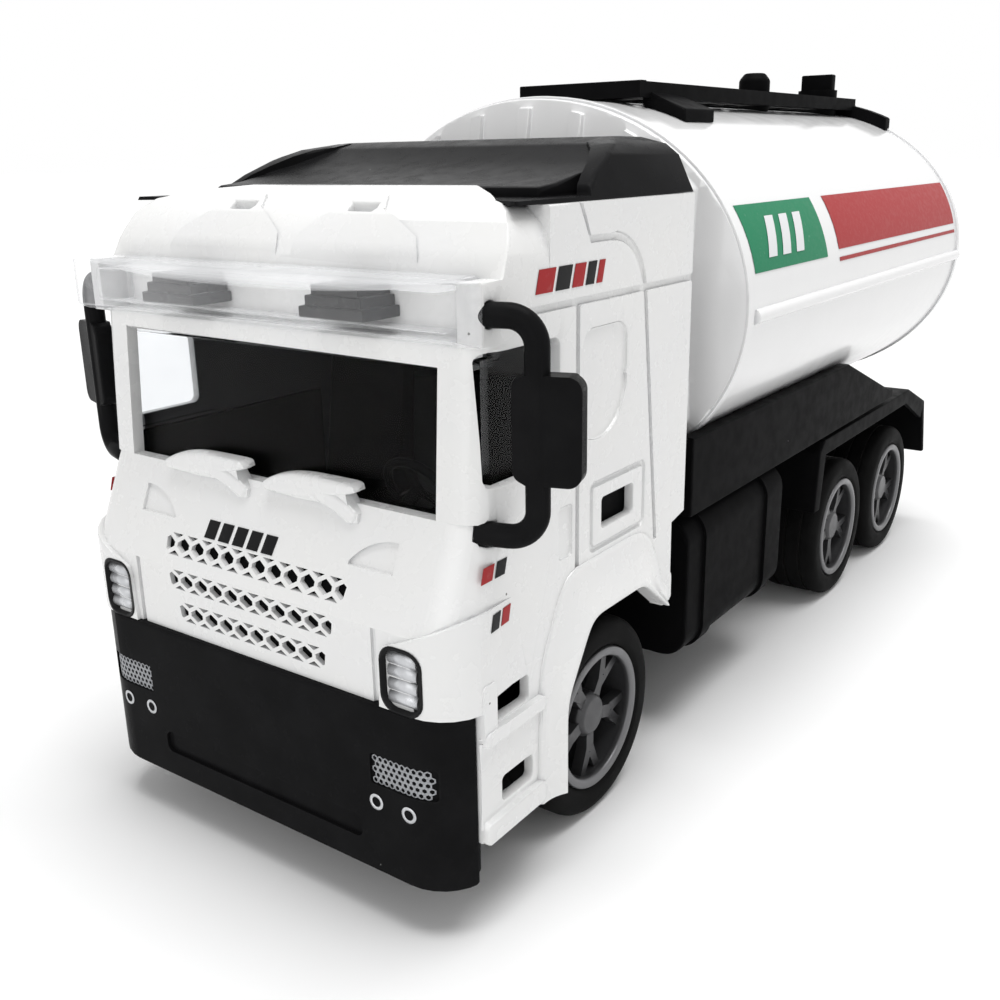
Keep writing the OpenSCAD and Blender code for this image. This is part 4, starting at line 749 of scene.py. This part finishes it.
def quad_mesh(name, points, quads):
    """Smooth mesh from points in millimetres and quads."""
    mesh = bpy.data.meshes.new(name)
    mesh.from_pydata((points * MM).tolist(), [], quads.tolist())
    mesh.polygons.foreach_set("use_smooth", np.ones(len(quads), bool))
    return mesh


# ---- printing and trim

def film(name, points, quads, normals, material):
    """Mesh of a thin film, turned so that its faces look along the normals, with a small thickness outwards."""
    p = points[quads[:, :3]]
    facing = np.cross(p[:, 1] - p[:, 0], p[:, 2] - p[:, 0])
    flip = np.einsum("ij,ij->i", facing, normals[quads[:, 0]]) < 0
    quads = np.where(flip[:, None], quads[:, ::-1], quads)
    obj = add_piece(name, quad_mesh(name, points, quads), material, CHASSIS)
    wall = obj.modifiers.new("film", "SOLIDIFY")
    wall.thickness = PRINT_T * MM
    wall.offset = 1.0
    obj.modifiers.new("even_normals", "WEIGHTED_NORMAL")


def printed(name, fields, surface, material, steps=(2, 2)):
    """Thin ink fields on a surface: each field is four corners (u, v) in order, filled by a bilinear grid, set on
    surface(u, v), which gives points and outward normals, lifted off and given a film's thickness."""
    corners = np.array(fields, float)
    s, t = np.meshgrid(np.linspace(0, 1, steps[0]), np.linspace(0, 1, steps[1]), indexing="ij")
    s, t = s[None, :, :, None], t[None, :, :, None]
    a, b, c, d = (corners[:, i, None, None, :] for i in range(4))
    flat = (1 - t) * ((1 - s) * a + s * d) + t * ((1 - s) * b + s * c)
    points, normals = surface(flat[..., 0].ravel(), flat[..., 1].ravel())
    count = steps[0] * steps[1]
    quads = grid_quads(*steps)[None] + count * np.arange(len(corners))[:, None, None]
    film(name, points + PRINT_LIFT * normals, quads.reshape(-1, 4), normals, material)


def band(name, outline_in, outline_out, surface, material):
    """A closed printed line between two outlines of equally many points (u, v), set on a surface."""
    both = np.concatenate([outline_in, outline_out])
    points, normals = surface(both[:, 0], both[:, 1])
    film(name, points + PRINT_LIFT * normals, ring_quads(2, len(outline_in)), normals, material)


def lamp_trim(name, side):
    """Black line round a headlamp: a profile carried round the recess's outline, from the pod's face down its wall to
    its floor. Each row is one inset of the outline at one depth."""
    face = rounded_front(POD_FACE_D, POD_OUT_Y, NOSE_R)
    y0, z0, y1, z1 = LAMP_BOX
    rows = []
    for inset, on_face in LAMP_LINE_ROWS:
        ring = soft_outline(y0 + inset, z0 + inset, y1 - inset, z1 - inset, LAMP_CORNER_R - inset)
        points, normals = face(ring[:, 0], ring[:, 1])
        points = points + PRINT_LIFT * normals
        if not on_face:
            points[:, 0] = row_x(LAMP_FLOOR_D - PRINT_LIFT)
        rows.append(points)
    points = np.concatenate(rows) * [1, side, 1]
    around = len(rows[0])
    normals = np.tile([1.0, 0.0, 0.0], (len(points), 1))
    wall_row = slice(around, 2 * around)
    inward = np.array([0, side * (y0 + y1) / 2, (z0 + z1) / 2]) - points[wall_row]
    inward[:, 0] = 0
    normals[wall_row] = inward / np.linalg.norm(inward, axis=1, keepdims=True)
    film(name, points, ring_quads(len(rows), around), normals, INK_BLACK)


def add_surface(name, points, quads, slot):
    """Smooth surface from points in millimetres and quads, with the finish of a slot."""
    obj = add_piece(name, quad_mesh(name, points, quads), FINISHES[slot], CHASSIS, slot)
    obj.modifiers.new("even_normals", "WEIGHTED_NORMAL")


def loft(name, stations, depth_d, half_depth, slot, power=3.2, around=28):
    """Rounded bar along a path in a plane that faces forward. Each station is (y, z, half height); its section is a
    superellipse |a|^power + |b|^power = 1, scaled to the half height across the path and to the half depth. The path
    is evened by a running mean, and both shrink at the ends with the root of the distance."""
    given = np.array(stations, float)
    dense = np.linspace(0, len(given) - 1, 8 * len(given))
    y, z, half = (np.interp(dense, np.arange(len(given)), given[:, k]) for k in range(3))
    y, z, half = (np.convolve(np.pad(v, 5, "edge"), np.ones(11) / 11, "valid") for v in (y, z, half))
    run = np.stack([np.gradient(y), np.gradient(z)], axis=1)
    run /= np.linalg.norm(run, axis=1, keepdims=True)
    ends = np.minimum(1, np.sqrt(np.clip(np.minimum(np.arange(len(y)), np.arange(len(y))[::-1]) / 5.0, 0.01, 1)))
    turn = np.linspace(0, 2 * np.pi, around, endpoint=False)
    a = np.sign(np.cos(turn)) * np.abs(np.cos(turn)) ** (2 / power)
    b = np.sign(np.sin(turn)) * np.abs(np.sin(turn)) ** (2 / power)
    rise = (half * ends)[:, None] * b
    points = np.stack([np.broadcast_to(row_x(depth_d) + half_depth * ends[:, None] * a, rise.shape),
                       y[:, None] - run[:, 1, None] * rise, z[:, None] + run[:, 0, None] * rise], axis=2)
    add_surface(name, points.reshape(-1, 3), ring_quads(len(y), around)[:, ::-1], slot)


def arch_flare(name, side):
    """Band that sweeps out to the edge of a front wheel arch. It follows the arch's outline with eased corners; across
    it, the height falls in a hollow curve from the edge, 0.22 + 1.25 (1 - share)^2.2, and a wall returns into the
    arch."""
    corners, outward = np.array(ARCH_CORNERS), np.array(ARCH_OUTWARD)
    leg = np.concatenate([[0], np.cumsum(np.linalg.norm(np.diff(corners, axis=0), axis=1))])
    run = np.linspace(0, leg[-1], FLARE_STEPS)
    path, out = (np.stack([np.interp(run, leg, v[:, k]) for k in (0, 1)], axis=1) for v in (corners, outward))
    window = np.hanning(FLARE_EASE) / np.hanning(FLARE_EASE).sum()
    pad = FLARE_EASE // 2
    for values in (path, out):
        for k in (0, 1):
            ends = 2 * values[0, k] - values[pad:0:-1, k], 2 * values[-1, k] - values[-2:-pad - 2:-1, k]
            values[:, k] = np.convolve(np.concatenate([ends[0], values[:, k], ends[1]]), window, "valid")

    def ease(low, high):
        t = np.clip((run - low) / (high - low), 0, 1)
        return t * t * (3 - 2 * t)

    narrow = np.maximum(1 - ease(8.5, 13.5), ease(leg[-1] - 6, leg[-1] - 1))
    width = FLARE_W - narrow * np.where(run < leg[2], FLARE_SLIMMER_FRONT, FLARE_SLIMMER_BACK)
    rows = []
    for share, height in FLARE_ROWS:
        hollow = 0.22 + 1.25 * (1 - share) ** 2.2 + narrow * 0.35 * share
        fall = hollow if height is None else np.full(len(run), height)
        place = path + out * (share * width)[:, None]
        rows.append(np.stack([row_x(place[:, 0]), side * (HALF_W + fall), place[:, 1]], axis=1))
    quads = grid_quads(len(rows), len(run))
    add_surface(name, np.concatenate(rows), quads if side > 0 else quads[:, ::-1], "white_paint")


# ---- pieces

for node_name, round_mm in ROUNDS.items():
    soften(node_name, round_mm)

for number, y0 in enumerate(WIPER_YS):
    for word, stations in WIPER_LINES.items():
        loft(f"wiper_{word}_{number}", [(y0 + y, SCREEN_LOW_Z + z, half) for y, z, half in stations],
             WIPER_D, WIPER_HALF_DEPTH, "white_paint")
printed("nose_bars", slanted_bars(-7.0, 32.9, [1.5] * 5, height=1.7, gap=0.5, lean=0.35), nose_slope, INK_BLACK)

bumper_face = rounded_front(0.0, HALF_W, BUMPER_R)
bumper_sunk = rounded_front(BUMPER_SKIN, HALF_W - BUMPER_SKIN, BUMPER_R - BUMPER_SKIN)
for side, word in ((1, "left"), (-1, "right")):
    arch_flare("arch_flare_" + word, side)
    lamp_trim("headlamp_line_" + word, side)
    printed("headlamp_lens_" + word, [box_field(*LENS_BOX)], lamp_lens(side), INK_SILVER, steps=(49, 3))
    net = hex_net(NET_IN_Y, NET_LOW_Z, columns=10, rows=5, pitch=0.64, web=0.25) * [side, 1]
    printed("bumper_net_" + word, net, bumper_sunk, INK_GREY)
    for number, y in enumerate(RING_YS):
        band(f"bumper_ring_{word}_{number}", circle_line(side * y, RING_Z, RING_IN_R),
             circle_line(side * y, RING_Z, RING_OUT_R), bumper_face, INK_SILVER)
    cab, pod, tank = cab_side(side), pod_side(side), tank_side(side)
    wide = slanted_bars(12.8, 57.1, [2.6, 2.2, 1.8, 1.4, 1.0], height=2.0, gap=0.45, lean=0.6)
    printed("cab_bars_red_" + word, wide[::2], cab, INK_RED)
    printed("cab_bars_black_" + word, wide[1::2], cab, INK_BLACK)
    low = slanted_bars(4.4, 34.1, [1.6, 1.4], height=1.4, gap=0.4, lean=0.4)
    printed("door_bars_red_" + word, low[:1], cab, INK_RED)
    printed("door_bars_black_" + word, low[1:], cab, INK_BLACK)
    marks = slanted_bars(5.2, 29.6, [1.3, 1.3], height=1.5, gap=0.4, lean=0.4)
    printed("door_mark_black_" + word, marks[:1], pod, INK_BLACK)
    printed("door_mark_red_" + word, marks[1:], pod, INK_RED)
    printed("tank_red_band_" + word, [box_field(*RED_BAND)], tank, INK_RED, steps=(9, 13))
    printed("tank_green_block_" + word, [box_field(*GREEN_BLOCK)], tank, INK_GREEN, steps=(9, 9))
    bars = slanted_bars(57.0, 56.6, [2.4] * 3, height=4.4, gap=1.8, lean=2.2)
    printed("tank_white_bars_" + word, bars, tank_side(side, OVERPRINT_LIFT), INK_WHITE, steps=(5, 3))
    printed("tank_pinstripe_" + word, [box_field(*PINSTRIPE)], tank, INK_RED, steps=(3, 13))


# ---- stage: lengths in metres, lamps in watts

WORLD_LIGHT = 0.42
FLOOR_REACH = 6.0
FLOOR_GLOW = 0.63
# The floor's glow starts at GLOW_FROM and is full at GLOW_FULL from the truck; the dimmer floor inside is painted shade
GLOW_FROM = 0.1
GLOW_FULL = 0.7
CAMERA_PLACE = Vector((135.646, 75.665, 68.274)) * MM
CAMERA_LOOK = Vector((-0.77209, -0.55869, -0.30288)).normalized()
CAMERA_ROLL = -0.01706
CAMERA_SENSOR = 36.0
CAMERA_LENS = 39.227


def shown_rays(t):
    """1 for rays that show the background: to the camera, mirrored or through something clear."""
    seen = t.new("ShaderNodeLightPath").outputs
    return t.math("MAXIMUM", seen["Is Camera Ray"], t.math("MAXIMUM", seen["Is Glossy Ray"],
                                                           seen["Is Transmission Ray"]))


def floor_and_world():
    """Pale floor, which turns white away from the truck and is left darker near it as painted shade, and an even white
    surround.
    """
    mesh = bpy.data.meshes.new("floor")
    corners = [(x, y, 0) for x, y in box_field(-FLOOR_REACH, -FLOOR_REACH, FLOOR_REACH, FLOOR_REACH)]
    mesh.from_pydata(corners, [], [(0, 1, 2, 3)])
    floor = bpy.data.objects.new("floor", mesh)
    bpy.context.scene.collection.objects.link(floor)
    f = Finish("floor_paper", roughness=0.9, specular_ior_level=0.1, emission_color=rgb(1, 1, 1))
    f.feed("Base Color", f.mix(f.ramp(f.group("mottle", size_mm=60.0), 0.2, 0.8), rgb(0.93, 0.93, 0.93),
                               rgb(0.91, 0.91, 0.91)))
    shown = shown_rays(f)
    # Glow grows with the distance from the truck: the floor near the truck stays darker, a painted pool of shade
    apart = f.new("ShaderNodeVectorMath", {0: f.spot(MM)}, operation="LENGTH").outputs["Value"]
    f.feed("Emission Strength", f.math("MULTIPLY", shown, f.ramp(apart, GLOW_FROM, GLOW_FULL, 0.0, FLOOR_GLOW)))
    mesh.materials.append(f.material)
    world = bpy.data.worlds.new("surround")
    bpy.context.scene.world = world
    world.use_nodes = True
    t = Tree(world.node_tree)
    back = world.node_tree.nodes["Background"]
    strength = t.new("ShaderNodeMapRange", {"Value": shown_rays(t), "To Min": WORLD_LIGHT, "To Max": 1.0})
    back.inputs["Color"].default_value = rgb(1, 1, 1)
    t.tree.links.new(strength.outputs["Result"], back.inputs["Strength"])


def soft_lamp(name, place, target, size, power):
    """Square area lamp at a place, turned to a target."""
    light = bpy.data.lights.new(name, "AREA")
    light.shape = "SQUARE"
    light.size = size
    light.energy = power
    lamp = bpy.data.objects.new(name, light)
    lamp.location = place
    lamp.rotation_euler = (Vector(target) - Vector(place)).to_track_quat("-Z", "Y").to_euler()
    bpy.context.scene.collection.objects.link(lamp)


def photo_camera():
    """Camera at the photograph's place: a close view over the left front corner, rolled a little."""
    level = CAMERA_LOOK.cross(Vector((0, 0, 1))).normalized()
    upright = level.cross(CAMERA_LOOK)
    cos, sin = math.cos(CAMERA_ROLL), math.sin(CAMERA_ROLL)
    right, up = cos * level + sin * upright, cos * upright - sin * level
    data = bpy.data.cameras.new("camera")
    data.sensor_width = CAMERA_SENSOR
    data.lens = CAMERA_LENS
    data.clip_start = 0.002
    data.clip_end = 20.0
    camera = bpy.data.objects.new("camera", data)
    turn = Matrix((right, up, -CAMERA_LOOK)).transposed().to_4x4()
    camera.matrix_world = Matrix.Translation(CAMERA_PLACE) @ turn
    bpy.context.scene.collection.objects.link(camera)
    bpy.context.scene.camera = camera


floor_and_world()
soft_lamp("key", place=(-0.02, 0.07, 0.65), target=(0.02, 0, 0.03), size=0.45, power=4.1)
soft_lamp("fill", place=(0.55, 0.1, 0.2), target=(0.03, 0, 0.04), size=0.4, power=0.65)
photo_camera()
bpy.context.scene.view_settings.view_transform = "Standard"
